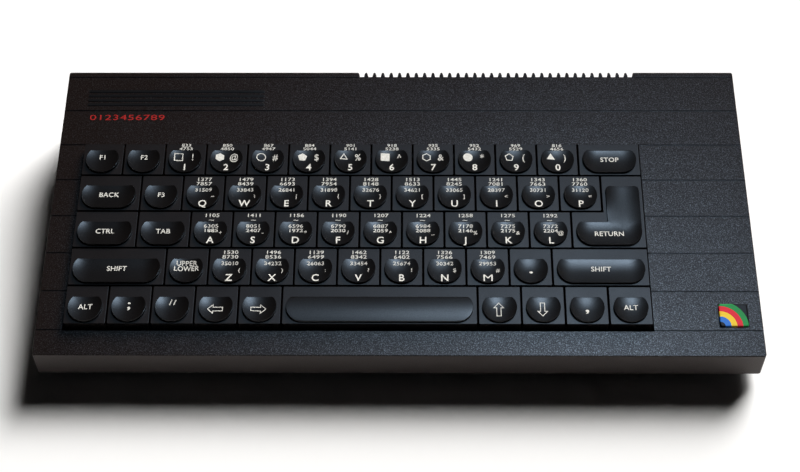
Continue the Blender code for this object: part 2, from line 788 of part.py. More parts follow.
def lower_case_additions():
    """Return what rises from the floor or hangs below it: tray walls, pockets, posts and feet."""
    pieces = []
    outer_x = INNER_X - FIT
    outer_y = INNER_Y - FIT
    floor = FLOOR_TOP - ROOT
    ring = bmesh.new()
    add_box(ring, (-outer_x, -outer_y, floor), (outer_x, outer_y, TRAY_TOP))
    upright = [edge for edge in ring.edges if edge.verts[0].co.xy == edge.verts[1].co.xy]
    bmesh.ops.bevel(ring, geom=upright, offset=CORNER_RADIUS, segments=1, affect="EDGES")
    wall = cutter("tray_wall", to_mesh(ring, "tray_wall"))
    hollow = boxes("tray_hollow", [(
        (-outer_x + TRAY_WALL, -outer_y + TRAY_WALL, floor - OVERRUN),
        (outer_x - TRAY_WALL, outer_y - TRAY_WALL, TRAY_TOP + OVERRUN),
    )])
    combine(wall, cutter("tray_hollow", hollow), "DIFFERENCE")
    gate = BOARD_WIDTH / 2 + POCKET_WALL
    opening = boxes("tray_gate", [(
        (-gate, outer_y - TRAY_WALL - OVERRUN, floor - OVERRUN), (gate, outer_y + OVERRUN, TRAY_TOP + OVERRUN),
    )])
    combine(wall, cutter("tray_gate", opening), "DIFFERENCE")
    pieces.append(wall)
    solid = bmesh.new()
    for low, high in leg_spans():
        margin = LEG_SIDE_GAP + POCKET_WALL
        rear = LEG_HINGE_Y + LEG_BARREL / 2 + FIT + POCKET_WALL
        front = LEG_HINGE_Y - LEG_LENGTH - FIT - POCKET_WALL
        add_box(solid, (low - margin, front, floor), (high + margin, rear, POCKET_TOP + POCKET_WALL))
    pieces.append(cutter("leg_pockets", to_mesh(solid, "leg_pockets")))
    solid = bmesh.new()
    for x, y, radius in post_places():
        add_cylinder(solid, radius, (x, y, floor), (x, y, TRAY_TOP), POST_STEPS)
    for across, along in STANDOFF_SHARES:
        x = across * BOARD_WIDTH / 2
        y = BOARD_REAR - BOARD_DEPTH / 2 + along * BOARD_DEPTH / 2
        top = (x, y, FLOOR_TOP + BOARD_STANDOFF)
        add_cylinder(solid, STANDOFF_RADIUS, (x, y, floor), top, POST_STEPS)
    pieces.append(cutter("lower_posts", to_mesh(solid, "lower_posts")))
    solid = bmesh.new()
    for x, y in foot_places():
        low = FOOT_RADIUS - FOOT_TAPER
        top = (x, y, FOOT_HEIGHT + ROOT)
        add_cylinder(solid, low, (x, y, 0.0), top, ROUND_STEPS, FOOT_RADIUS)
    pieces.append(cutter("feet", to_mesh(solid, "feet")))
    switch_low = -INNER_X + FIT + RESET_FLANGE_THICK + RESET_STEM_LENGTH + RESET_TRAVEL + FIT
    switch = boxes("reset_switch", [(
        (switch_low, RESET_Y - SWITCH_WIDTH / 2, floor),
        (switch_low + SWITCH_DEPTH, RESET_Y + SWITCH_WIDTH / 2, RESET_HEIGHT + SWITCH_WIDTH / 2),
    )])
    pieces.append(cutter("reset_switch", switch))
    return pieces


def lower_case_cuts():
    """Return what is cut from the lower case: leg pockets, bearing holes and screw passages."""
    solid = bmesh.new()
    for low, high in leg_spans():
        rear = LEG_HINGE_Y + LEG_BARREL / 2 + FIT
        front = LEG_HINGE_Y - LEG_LENGTH - FIT
        side = LEG_SIDE_GAP
        add_box(solid, (low - side, front, FOOT_HEIGHT - OVERRUN), (high + side, rear, POCKET_TOP))
    pockets = cutter("pocket_hollows", to_mesh(solid, "pocket_hollows"))
    solid = bmesh.new()
    for low, high in leg_spans():
        reach = LEG_PIN_REACH + FIT
        start = (low - reach, LEG_HINGE_Y, LEG_AXIS_Z)
        end = (high + reach, LEG_HINGE_Y, LEG_AXIS_Z)
        add_cylinder(solid, LEG_PIN / 2 + PIN_GAP, start, end, POST_STEPS)
    bearings = cutter("bearing_holes", to_mesh(solid, "bearing_holes"))
    solid = bmesh.new()
    for x, y, _ in post_places():
        start = (x, y, FOOT_HEIGHT - OVERRUN)
        add_cylinder(solid, SCREW_PASS, start, (x, y, TRAY_TOP + OVERRUN), POST_STEPS)
    passages = cutter("screw_passages", to_mesh(solid, "screw_passages"))
    solid = bmesh.new()
    for x, y, _ in post_places():
        start = (x, y, FOOT_HEIGHT - OVERRUN)
        add_cylinder(solid, SCREW_HEAD, start, (x, y, FOOT_HEIGHT + HEAD_DEPTH), POST_STEPS)
    heads = cutter("screw_head_recesses", to_mesh(solid, "screw_head_recesses"))
    return [pockets, bearings, passages, heads]


def build_lower_case(finish):
    """Make the shallow tray that closes the case from below."""
    half_x = CASE_WIDTH / 2 - FLOOR_INSET
    half_y = CASE_DEPTH / 2 - FLOOR_INSET
    solid = bmesh.new()
    add_box(solid, (-half_x, -half_y, FOOT_HEIGHT), (half_x, half_y, FLOOR_TOP))
    below = [edge for edge in solid.edges if all(vert.co.z < FLOOR_TOP - ROOT for vert in edge.verts)]
    bmesh.ops.bevel(solid, geom=below, offset=FLOOR_CHAMFER, segments=1, affect="EDGES")
    case = place("lower_case", to_mesh(solid, "lower_case"), PARTS, finish)
    for item in lower_case_additions():
        combine(case, item, "UNION")
    for item in lower_case_cuts():
        combine(case, item, "DIFFERENCE")
    return case


# Circuit board


def board_blocks():
    """Return the box-shaped parts soldered on the board, each rooted in it."""
    root = BOARD_TOP - ROOT
    half_x = BOARD_WIDTH / 2
    tail_y = BOARD_REAR - SINK_LENGTH + TAIL_SOCKET_DEPTH
    rear_row = tail_y - CHIP_GAP - CHIP_WIDTH / 2
    front_row = rear_row - CHIP_WIDTH / 2 - CHIP_ROW_GAP - SHORT_CHIP / 2
    long_chip = LONG_CHIP_SHARE * BOARD_WIDTH
    short_chip = SHORT_CHIP_WIDTH_SHARE * BOARD_WIDTH
    blocks = []

    def block(x, width, low_y, high_y, height):
        blocks.append(((x - width / 2, low_y, root), (x + width / 2, high_y, BOARD_TOP + height)))

    for x in (EAR_X, MIC_X):
        block(x, JACK_WIDTH, SOCKET_FACE - JACK_DEPTH, SOCKET_FACE, JACK_HEIGHT)
    block(POWER_X, POWER_WIDTH, SOCKET_FACE - JACK_DEPTH, SOCKET_FACE, JACK_HEIGHT)
    can_rear = INNER_Y - SOCKET_GAP
    block(TV_X, TV_CAN_WIDTH, can_rear - TV_CAN_DEPTH, can_rear, TV_CAN_HEIGHT)
    chips = [(across, rear_row) for across in REAR_CHIP_SHARES] + [(FRONT_CHIP_SHARE, front_row)]
    for across, y in chips:
        block(across * half_x, long_chip, y - CHIP_WIDTH / 2, y + CHIP_WIDTH / 2, CHIP_THICK)
    for index in range(SHORT_CHIP_COUNT):
        x = SHORT_CHIP_START_SHARE * half_x + index * SHORT_CHIP_STEP_SHARE * BOARD_WIDTH
        block(x, short_chip, front_row - SHORT_CHIP / 2, front_row + SHORT_CHIP / 2, CHIP_THICK)
    sink_x = half_x - SINK_FOOT
    block(sink_x, SINK_THICK, BOARD_REAR - SINK_LENGTH, BOARD_REAR, SINK_HEIGHT)
    for x in (-TAIL_SOCKET_WIDTH, TAIL_SOCKET_WIDTH):
        block(x, TAIL_SOCKET_WIDTH, tail_y, tail_y + TAIL_SOCKET_DEPTH, TAIL_SOCKET_HEIGHT)
    return boxes("board_blocks", blocks)


def build_circuit_board(finish):
    """Make the board with its edge tongue, sockets, chips and heat sink in one soldered piece."""
    half_x = BOARD_WIDTH / 2
    tongue = TONGUE_WIDTH / 2
    sheet = boxes("circuit_board", [(
        (-half_x, BOARD_REAR - BOARD_DEPTH, BOARD_BOTTOM), (half_x, BOARD_REAR, BOARD_TOP),
    )])
    board = place("circuit_board", sheet, PARTS, finish)
    edge = boxes("board_tongue", [(
        (TONGUE_CENTRE - tongue, BOARD_REAR - OVERRUN, BOARD_BOTTOM),
        (TONGUE_CENTRE + tongue, CASE_DEPTH / 2 - TONGUE_SETBACK, BOARD_TOP),
    )])
    combine(board, cutter("board_tongue", edge), "UNION")
    combine(board, cutter("board_blocks", board_blocks()), "UNION")
    solid = bmesh.new()
    centre = BOARD_TOP + JACK_HEIGHT / 2
    start = SOCKET_FACE - TV_CAN_DEPTH / 2
    end = (TV_X, SOCKET_FACE, centre)
    add_cylinder(solid, TV_SOCKET_WIDTH / 2, (TV_X, start, centre), end, ROUND_STEPS)
    combine(board, cutter("tv_socket", to_mesh(solid, "tv_socket")), "UNION")
    solid = bmesh.new()
    for x, bore in ((EAR_X, JACK_BORE), (MIC_X, JACK_BORE), (TV_X, JACK_BORE), (POWER_X, POWER_BORE)):
        start = (x, SOCKET_FACE - JACK_REACH, centre)
        add_cylinder(solid, bore / 2, start, (x, SOCKET_FACE + OVERRUN, centre), POST_STEPS)
    combine(board, cutter("socket_bores", to_mesh(solid, "socket_bores")), "DIFFERENCE")
    solid = bmesh.new()
    start = (POWER_X, SOCKET_FACE - JACK_REACH - ROOT, centre)
    end = (POWER_X, SOCKET_FACE - SOCKET_SETBACK, centre)
    add_cylinder(solid, POWER_PIN / 2, start, end, HOLE_STEPS)
    combine(board, cutter("power_pin", to_mesh(solid, "power_pin")), "UNION")
    return board


# Legs and reset button


def build_leg(name, side, finish):
    """Make one rear leg, folded flat, with its barrel and stub pins on the hinge axis."""
    half = LEG_WIDTH / 2
    solid = bmesh.new()
    add_box(solid, (-half, -LEG_LENGTH, -LEG_THICK / 2), (half, 0.0, LEG_THICK / 2))
    tip = [edge for edge in solid.edges if all(vert.co.y < -LEG_LENGTH / 2 for vert in edge.verts)
           and abs(edge.verts[0].co.x - edge.verts[1].co.x) < half]
    bmesh.ops.bevel(solid, geom=tip, offset=LEG_THICK, segments=TIP_STEPS, affect="EDGES")
    leg = place(name, to_mesh(solid, name), PARTS, finish)
    solid = bmesh.new()
    add_cylinder(solid, LEG_BARREL / 2, (-half, 0.0, 0.0), (half, 0.0, 0.0), ROUND_STEPS)
    barrel = cutter(f"{name}_barrel", to_mesh(solid, "leg_barrel"), leg)
    combine(leg, barrel, "UNION")
    solid = bmesh.new()
    reach = half + LEG_PIN_REACH
    add_cylinder(solid, LEG_PIN / 2, (-reach, 0.0, 0.0), (reach, 0.0, 0.0), POST_STEPS)
    combine(leg, cutter(f"{name}_pin", to_mesh(solid, "leg_pin"), leg), "UNION")
    leg.location = (side * LEG_CENTRE, LEG_HINGE_Y, LEG_AXIS_Z)
    return leg


def build_reset_button(finish):
    """Make the round reset button with the flange that keeps it in the wall."""
    wall_face = -INNER_X + FIT
    flange_end = wall_face + RESET_FLANGE_THICK
    profile = (
        (-CASE_WIDTH / 2 + RESET_SETBACK, 0.0),
        (-CASE_WIDTH / 2 + RESET_SETBACK, RESET_RADIUS),
        (wall_face, RESET_RADIUS),
        (wall_face, RESET_FLANGE),
        (flange_end, RESET_FLANGE),
        (flange_end, RESET_STEM),
        (flange_end + RESET_STEM_LENGTH, RESET_STEM),
        (flange_end + RESET_STEM_LENGTH, 0.0),
    )
    mesh = bpy.data.meshes.new("reset_button")
    points = [(x + CASE_WIDTH / 2, radius, 0.0) for x, radius in reversed(profile)]
    mesh.from_pydata(points, [(index, index + 1) for index in range(len(points) - 1)], [])
    button = place("reset_button", mesh, PARTS, finish)
    turned = button.modifiers.new("Turned", "SCREW")
    turned.axis = "X"
    turned.steps = ROUND_STEPS
    turned.render_steps = ROUND_STEPS
    turned.use_merge_vertices = True
    turned.merge_threshold = 0.00001
    button.location = (-CASE_WIDTH / 2, RESET_Y, RESET_HEIGHT)
    return button


# The whole object

clear_scene()
PARTS = new_collection("home_computer")
CUTTERS = new_collection("cutters")
DECK = bpy.data.objects.new("deck", None)
PARTS.objects.link(DECK)
DECK.location = (0.0, CASE_DEPTH / 2, CASE_HEIGHT)
DECK.rotation_euler = (SLOPE, 0.0, 0.0)
PLAIN_LENGTH = ROW_PITCH - KEY_GAP
PAD_RADIUS = (KEY_PITCH - KEY_GAP - PAD_FLAT) / 2 - PAD_SIDE
ENTER_WIDTH = THIRD_ROW_SHARES[-1][1] * KEY_PITCH - KEY_GAP
ENTER_ARM_WIDTH = ENTER_ARM_SHARE * KEY_PITCH - KEY_GAP


def main():
    """Build the home computer."""
    case_plastic = material("case_plastic", (0.030, 0.034, 0.042), 0.62)
    base_plastic = material("base_plastic", (0.022, 0.022, 0.024), 0.60)
    key_plastic = material("key_plastic", (0.022, 0.023, 0.026), 0.42)
    frame_plastic = material("frame_plastic", (0.012, 0.012, 0.013), 0.60)
    board_resin = material("board_resin", (0.020, 0.110, 0.040), 0.45)
    leg_plastic = material("leg_plastic", (0.020, 0.020, 0.022), 0.55)
    button_plastic = material("button_plastic", (0.020, 0.020, 0.022), 0.45)
    fixed_keys = build_keys(key_plastic)
    build_key_frame(frame_plastic, fixed_keys)
    build_upper_case(case_plastic)
    build_lower_case(base_plastic)
    build_circuit_board(board_resin)
    build_leg("left_leg", -1, leg_plastic)
    build_leg("right_leg", 1, leg_plastic)
    build_reset_button(button_plastic)


main()
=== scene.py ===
"""Dressed scene of a flat black home computer with a sloping top and a moulded keyboard.

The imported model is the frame. Every size is in metres in its frame, with +X to the user's right, +Y to
the rear and +Z up. The sloping top has a frame of its own, the deck: its origin is the middle of the
rear top edge, its x runs across, its y up the slope, and its z stands square to the top.
"""

import logging
import math
from dataclasses import dataclass, field
from enum import Enum
from typing import Callable, Optional, Sequence

import bmesh
import bpy
from mathutils import Matrix, Vector


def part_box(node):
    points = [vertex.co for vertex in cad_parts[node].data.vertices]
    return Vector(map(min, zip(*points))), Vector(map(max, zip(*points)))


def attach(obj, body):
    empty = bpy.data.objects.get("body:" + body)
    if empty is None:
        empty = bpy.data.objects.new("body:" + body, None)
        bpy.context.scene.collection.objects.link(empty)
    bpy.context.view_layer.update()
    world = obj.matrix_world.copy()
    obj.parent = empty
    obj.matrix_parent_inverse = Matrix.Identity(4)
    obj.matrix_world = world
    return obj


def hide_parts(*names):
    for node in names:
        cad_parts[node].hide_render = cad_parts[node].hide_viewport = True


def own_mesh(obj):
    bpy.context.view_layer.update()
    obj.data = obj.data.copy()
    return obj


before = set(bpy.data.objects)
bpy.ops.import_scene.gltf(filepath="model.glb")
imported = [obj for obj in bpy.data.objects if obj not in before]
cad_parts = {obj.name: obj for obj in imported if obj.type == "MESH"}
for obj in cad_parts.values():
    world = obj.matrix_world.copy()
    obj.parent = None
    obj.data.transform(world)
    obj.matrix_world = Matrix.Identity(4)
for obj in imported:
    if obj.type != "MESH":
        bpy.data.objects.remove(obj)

log = logging.getLogger("home_computer")
TINY = 0.00001
FACING = 0.9
SHARP = 1.0


class Part(Enum):
    """What an edit-mode selection picks."""

    VERT = "verts"
    EDGE = "edges"
    FACE = "faces"


class KeyKind(Enum):
    """The forms that a key can have."""

    PLAIN = "plain"
    TRIMMED = "trimmed"
    SPACE = "space"
    ENTER = "enter"


@dataclass(frozen=True)
class Deck:
    """The sloping top's own frame."""

    rear: float = 0.07455014
    height: float = 0.03800721
    slope: float = math.radians(7.0)

    @property
    def matrix(self) -> Matrix:
        """Return the matrix from the deck to the whole object's frame."""
        return Matrix.Translation((0.0, self.rear, self.height)) @ Matrix.Rotation(self.slope, 4, "X")


DECK = Deck()


class Bench:
    """Shapes meshes with Blender's own operators, as by hand."""

    @staticmethod
    def clear() -> None:
        """Leave edit mode and deselect every object."""
        active = bpy.context.view_layer.objects.active
        if active is not None and active.mode != "OBJECT":
            bpy.ops.object.mode_set(mode="OBJECT")
        bpy.ops.object.select_all(action="DESELECT")

    @staticmethod
    def take(*items: bpy.types.Object) -> None:
        """Select these objects alone, with the first one active."""
        Bench.clear()
        for item in items:
            item.select_set(True)
        bpy.context.view_layer.objects.active = items[0]

    @staticmethod
    def settle(name: str) -> bpy.types.Object:
        """Name the active object and put its place into its mesh."""
        item = bpy.context.active_object
        item.name = name
        bpy.ops.object.transform_apply(location=True, rotation=True, scale=True)
        return item

    @staticmethod
    def box(name: str, low: Sequence[float], high: Sequence[float]) -> bpy.types.Object:
        """Add a cube between two corners.

        Args:
            name: The object's name.
            low: Its lowest corner.
            high: Its highest corner.

        Returns:
            The cube, with its place in its mesh.
        """
        Bench.clear()
        low, high = Vector(low), Vector(high)
        bpy.ops.mesh.primitive_cube_add(size=1.0, location=(low + high) / 2, scale=high - low)
        return Bench.settle(name)

    @staticmethod
    def drum(name: str, radius: float, start: Sequence[float], end: Sequence[float], sides: int,
             end_radius: Optional[float] = None) -> bpy.types.Object:
        """Add a round bar or cone between two points.

        Args:
            name: The object's name.
            radius: Its radius at the start.
            start: The middle of its first end.
            end: The middle of its other end.
            sides: How many sides it has.
            end_radius: Its radius at the other end, if it tapers.

        Returns:
            The bar, with its place in its mesh.
        """
        Bench.clear()
        start, end = Vector(start), Vector(end)
        turn = (end - start).to_track_quat("Z", "Y").to_euler()
        bpy.ops.mesh.primitive_cone_add(
            vertices=sides, radius1=radius, radius2=radius if end_radius is None else end_radius,
            depth=(end - start).length, location=(start + end) / 2, rotation=turn,
        )
        return Bench.settle(name)

    @staticmethod
    def tube(name: str, outer: float, inner: float, start: Sequence[float], end: Sequence[float],
             sides: int) -> bpy.types.Object:
        """Add an open ring or tube between two points.

        Args:
            name: The object's name.
            outer: Its outer radius.
            inner: Its bore's radius.
            start: The middle of its first end.
            end: The middle of its other end.
            sides: How many sides it has.

        Returns:
            The tube, with its place in its mesh.
        """
        item = Bench.drum(name, outer, start, end, sides)
        Bench.edit(item)
        Bench.pick(item, Part.FACE, lambda face: len(face.verts) > 4)
        bpy.ops.mesh.inset(thickness=outer - inner, depth=0.0)
        bpy.ops.mesh.delete(type="FACE")
        Bench.pick(item, Part.EDGE, lambda edge: edge.is_boundary)
        bpy.ops.mesh.bridge_edge_loops()
        bpy.ops.mesh.select_all(action="SELECT")
        bpy.ops.mesh.normals_make_consistent(inside=False)
        Bench.done()
        return item

    @staticmethod
    def ribbon(name: str, width: float, thick: float, path: Sequence[Vector]) -> bpy.types.Object:
        """Add a flat strip that follows a path and keeps level across.

        Args:
            name: The object's name.
            width: Its width along x.
            thick: Its thickness.
            path: The points of its middle line.

        Returns:
            The strip.
        """
        low, high = path[0] - Vector((width / 2, 0.0, 0.0)), path[1] + Vector((width / 2, 0.0, 0.0))
        Bench.clear()
        bpy.ops.mesh.primitive_plane_add(size=1.0)
        item = Bench.settle(name)
        for vert in item.data.vertices:
            end = high if vert.co.y > 0.0 else low
            vert.co = Vector((low.x if vert.co.x < 0.0 else high.x, end.y, end.z))
        Bench.edit(item)
        for before, after in zip(path[1:-1], path[2:]):
            Bench.pick(item, Part.EDGE, lambda edge: all((vert.co - before).yz.length < TINY for vert in edge.verts))
            bpy.ops.mesh.extrude_edges_move(TRANSFORM_OT_translate={"value": after - before})
        Bench.done()
        Bench.apply(item, "SOLIDIFY", thickness=thick, offset=0.0)
        return item

    @staticmethod
    def edit(item: bpy.types.Object) -> None:
        """Open an object in edit mode with nothing selected."""
        Bench.take(item)
        bpy.ops.object.mode_set(mode="EDIT")
        bpy.ops.mesh.select_all(action="DESELECT")

    @staticmethod
    def pick(item: bpy.types.Object, part: Part, test: Callable) -> int:
        """Select the verts, edges or faces that pass a test.

        Args:
            item: The object in edit mode.
            part: What is picked.
            test: Says of one vert, edge or face whether it is picked.

        Returns:
            How many were picked.
        """
        bpy.context.tool_settings.mesh_select_mode = tuple(part is each for each in Part)
        bpy.ops.mesh.select_all(action="DESELECT")
        solid = bmesh.from_edit_mesh(item.data)
        chosen = [each for each in getattr(solid, part.value) if test(each)]
        for each in chosen:
            each.select_set(True)
        solid.select_flush_mode()
        bmesh.update_edit_mesh(item.data)
        return len(chosen)

    @staticmethod
    def done() -> None:
        """Go back to object mode."""
        bpy.ops.object.mode_set(mode="OBJECT")

    @staticmethod
    def bevel(item: bpy.types.Object, test: Callable, offset: float, segments: int) -> int:
        """Round the edges that pass a test.

        Args:
            item: The object in edit mode.
            test: Says of one edge whether it is rounded.
            offset: How far the edge is drawn back.
            segments: How many faces the rounding has.

        Returns:
            How many edges were picked.
        """
        count = Bench.pick(item, Part.EDGE, test)
        bpy.ops.mesh.bevel(offset=offset, segments=segments, affect="EDGES")
        return count

    @staticmethod
    def slice(place: Sequence[float], normal: Sequence[float], **options: bool) -> None:
        """Cut the mesh in edit mode by a plane, and keep both sides if no option says otherwise."""
        bpy.ops.mesh.select_all(action="SELECT")
        bpy.ops.mesh.bisect(plane_co=place, plane_no=normal, threshold=TINY / 10, **options)

    @staticmethod
    def inset(*steps: tuple[float, float]) -> None:
        """Draw the picked faces in and outwards, by a thickness and a depth for each step."""
        for thickness, depth in steps:
            bpy.ops.mesh.inset(thickness=thickness, depth=depth)

    @staticmethod
    def extrude(along: Sequence[float]) -> None:
        """Draw the picked faces out by a vector."""
        bpy.ops.mesh.extrude_region_move(TRANSFORM_OT_translate={"value": along})

    @staticmethod
    def apply(item: bpy.types.Object, kind: str, **settings: object) -> None:
        """Add a modifier with its settings and apply it.

        Args:
            item: The object.
            kind: The modifier's type.
            settings: Its values by name.
        """
        Bench.take(item)
        step = item.modifiers.new(kind.title(), kind)
        for name, value in settings.items():
            setattr(step, name, value)
        bpy.ops.object.modifier_apply(modifier=step.name)

    @staticmethod
    def cut(item: bpy.types.Object, tool: bpy.types.Object, operation: str = "DIFFERENCE") -> None:
        """Apply a Boolean of a tool to an object and remove the tool."""
        Bench.apply(item, "BOOLEAN", operation=operation, solver="EXACT", object=tool)
        bpy.data.objects.remove(tool, do_unlink=True)

    @staticmethod
    def join(name: str, *items: bpy.types.Object) -> bpy.types.Object:
        """Join objects into one and name it."""
        Bench.take(*items)
        if len(items) > 1:
            bpy.ops.object.join()
        items[0].name = name
        return items[0]

    @staticmethod
    def smooth(item: bpy.types.Object, degrees: float = 32.0) -> None:
        """Shade an object smooth, with edges sharper than an angle kept and large faces left flat."""
        Bench.take(item)
        bpy.ops.object.shade_smooth_by_angle(angle=math.radians(degrees))
        Bench.apply(item, "WEIGHTED_NORMAL", keep_sharp=True)

    @staticmethod
    def refine(node: str, name: str, radius: float) -> bpy.types.Object:
        """Copy a solid of the frame, merge its triangles and round its edges.

        Args:
            node: The solid's name.
            name: The new piece's name.
            radius: How far the edges are drawn back.

        Returns:
            The new piece, which stands for the solid.
        """
        piece = Bench.merged(node, name)
        Bench.soften(piece, radius, 30.0)
        Bench.smooth(piece, 40.0)
        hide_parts(node)
        return piece

    @staticmethod
    def soften(item: bpy.types.Object, radius: float, degrees: float) -> None:
        """Round the edges that are sharper than an angle, also where the roundings meet."""
        Bench.apply(item, "BEVEL", width=radius, segments=2, limit_method="ANGLE",
                    angle_limit=math.radians(degrees), use_clamp_overlap=False)

    @staticmethod
    def merged(node: str, name: str) -> bpy.types.Object:
        """Copy a solid of the frame and merge its triangles into whole faces.

        Args:
            node: The solid's name.
            name: The copy's name.

        Returns:
            The copy.
        """
        piece = Bench.copy(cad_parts[node], name, Matrix.Identity(4))
        Bench.edit(piece)
        bpy.ops.mesh.select_all(action="SELECT")
        bpy.ops.mesh.remove_doubles(threshold=TINY)
        bpy.ops.mesh.dissolve_limited(angle_limit=math.radians(0.5))
        Bench.done()
        return piece

    @staticmethod
    def paint(item: bpy.types.Object, material: bpy.types.Material) -> None:
        """Give an object one material."""
        item.data.materials.clear()
        item.data.materials.append(material)

    @staticmethod
    def dress(item: bpy.types.Object, material: bpy.types.Material, degrees: float = 40.0,
              body: str = "case") -> None:
        """Shade a piece, paint it and let it ride on a body.

        Args:
            item: The piece.
            material: Its material.
            degrees: The angle from which its edges stay sharp.
            body: The body that carries it.
        """
        Bench.smooth(item, degrees)
        Bench.paint(item, material)
        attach(item, body)
        log.info("%s rides on %s", item.name, body)

    @staticmethod
    def add(name: str, data: bpy.types.ID) -> bpy.types.Object:
        """Put an object with some data into the scene."""
        item = bpy.data.objects.new(name, data)
        bpy.context.scene.collection.objects.link(item)
        return item

    @staticmethod
    def copy(item: bpy.types.Object, name: str, place: Matrix) -> bpy.types.Object:
        """Copy an object with a mesh of its own, moved by a matrix in that mesh.

        Args:
            item: The object to copy.
            name: The copy's name.
            place: The matrix that moves it.

        Returns:
            The copy.
        """
        twin = Bench.add(name, item.data.copy())
        twin.data.name = name
        twin.data.transform(place)
        return twin

    @staticmethod
    def remove(*items: bpy.types.Object) -> None:
        """Remove models that have been copied."""
        for item in items:
            bpy.data.objects.remove(item, do_unlink=True)


def upright(edge: bmesh.types.BMEdge) -> bool:
    """Say whether an edge stands along z."""
    return (edge.verts[0].co.xy - edge.verts[1].co.xy).length < TINY


def level(edge: bmesh.types.BMEdge, height: float) -> bool:
    """Say whether an edge lies at a height."""
    return all(abs(vert.co.z - height) < TINY for vert in edge.verts)


def sharp(edge: bmesh.types.BMEdge) -> bool:
    """Say whether an edge is about square or sharper."""
    return edge.calc_face_angle(0.0) > SHARP


def looks_up(face: bmesh.types.BMFace) -> bool:
    """Say whether a face looks up."""
    return face.normal.z > FACING


def looks_down(face: bmesh.types.BMFace) -> bool:
    """Say whether a face looks down."""
    return face.normal.z < -FACING


# Finishes


class Recipe:
    """Wires one procedural material."""

    def __init__(self, name: str) -> None:
        """Start a material with a Principled shader."""
        self.material = bpy.data.materials.new(name)
        self.material.use_nodes = True
        self.nodes = self.material.node_tree.nodes
        self.shader = self.nodes["Principled BSDF"]

    def node(self, kind: str, **settings: object) -> bpy.types.Node:
        """Add a node and set its properties."""
        made = self.nodes.new(kind)
        for name, value in settings.items():
            setattr(made, name, value)
        return made

    def link(self, source: bpy.types.NodeSocket, target: bpy.types.NodeSocket) -> None:
        """Join two sockets."""
        self.material.node_tree.links.new(source, target)

    def put(self, **values: object) -> None:
        """Set the shader's own sockets by name, with _ for a space."""
        for name, value in values.items():
            self.shader.inputs[name.replace("_", " ")].default_value = value

    def feed(self, **sources: bpy.types.NodeSocket) -> None:
        """Link sources to the shader's own sockets by name, with _ for a space."""
        for name, source in sources.items():
            self.link(source, self.shader.inputs[name.replace("_", " ")])

    def place(self, matrix: Optional[Matrix] = None) -> bpy.types.NodeSocket:
        """Return the object coordinates, moved into a frame.

        Args:
            matrix: The frame's matrix, or None for the object's own.

        Returns:
            The vector socket.
        """
        coordinates = self.node("ShaderNodeTexCoord")
        if matrix is None:
            return coordinates.outputs["Object"]
        back = matrix.inverted()
        mapping = self.node("ShaderNodeMapping", vector_type="POINT")
        mapping.inputs["Location"].default_value = back.to_translation()
        mapping.inputs["Rotation"].default_value = back.to_euler()
        self.link(coordinates.outputs["Object"], mapping.inputs["Vector"])
        return mapping.outputs["Vector"]

    def noise(self, size: float, detail: float = 2.0, roughness: float = 0.5,
              place: Optional[bpy.types.NodeSocket] = None) -> bpy.types.NodeSocket:
        """Return a noise pattern.

        Args:
            size: How big its blotches are.
            detail: How many finer layers it has.
            roughness: How strong the finer layers are.
            place: Its coordinates, or None for the object's own.

        Returns:
            The value socket.
        """
        texture = self.node("ShaderNodeTexNoise")
        texture.inputs["Scale"].default_value = 1.0 / size
        texture.inputs["Detail"].default_value = detail
        texture.inputs["Roughness"].default_value = roughness
        self.link(place or self.place(), texture.inputs["Vector"])
        return texture.outputs["Fac"]

    def spread(self, source: bpy.types.NodeSocket, low: float, high: float,
               start: float = 0.3, end: float = 0.7) -> bpy.types.NodeSocket:
        """Map a value from one span to another.

        Args:
            source: The value.
            low: What the span's start becomes.
            high: What its end becomes.
            start: The span's start.
            end: The span's end.

        Returns:
            The new value's socket.
        """
        span = self.node("ShaderNodeMapRange")
        for name, value in (("From Min", start), ("From Max", end), ("To Min", low), ("To Max", high)):
            span.inputs[name].default_value = value
        self.link(source, span.inputs["Value"])
        return span.outputs["Result"]

    def blend(self, factor: bpy.types.NodeSocket, dark: Sequence[float],
              light: Sequence[float]) -> bpy.types.NodeSocket:
        """Return a colour between two by a factor.

        Args:
            factor: How much of the light colour shows.
            dark: The colour at 0.
            light: The colour at 1.

        Returns:
            The colour's socket.
        """
        mix = self.node("ShaderNodeMix", data_type="RGBA")
        self.link(factor, mix.inputs["Factor"])
        mix.inputs["A"].default_value = (*dark, 1.0)
        mix.inputs["B"].default_value = (*light, 1.0)
        return mix.outputs["Result"]

    def bump(self, height: bpy.types.NodeSocket, strength: float, distance: float,
             before: Optional[bpy.types.NodeSocket] = None) -> bpy.types.NodeSocket:
        """Return a bumped normal.

        Args:
            height: The height pattern.
            strength: How much of it shows.
            distance: How high its peaks are.
            before: A normal that it is added to.

        Returns:
            The normal socket.
        """
        made = self.node("ShaderNodeBump")
        made.inputs["Strength"].default_value = strength
        made.inputs["Distance"].default_value = distance
        self.link(height, made.inputs["Height"])
        if before is not None:
            self.link(before, made.inputs["Normal"])
        return made.outputs["Normal"]


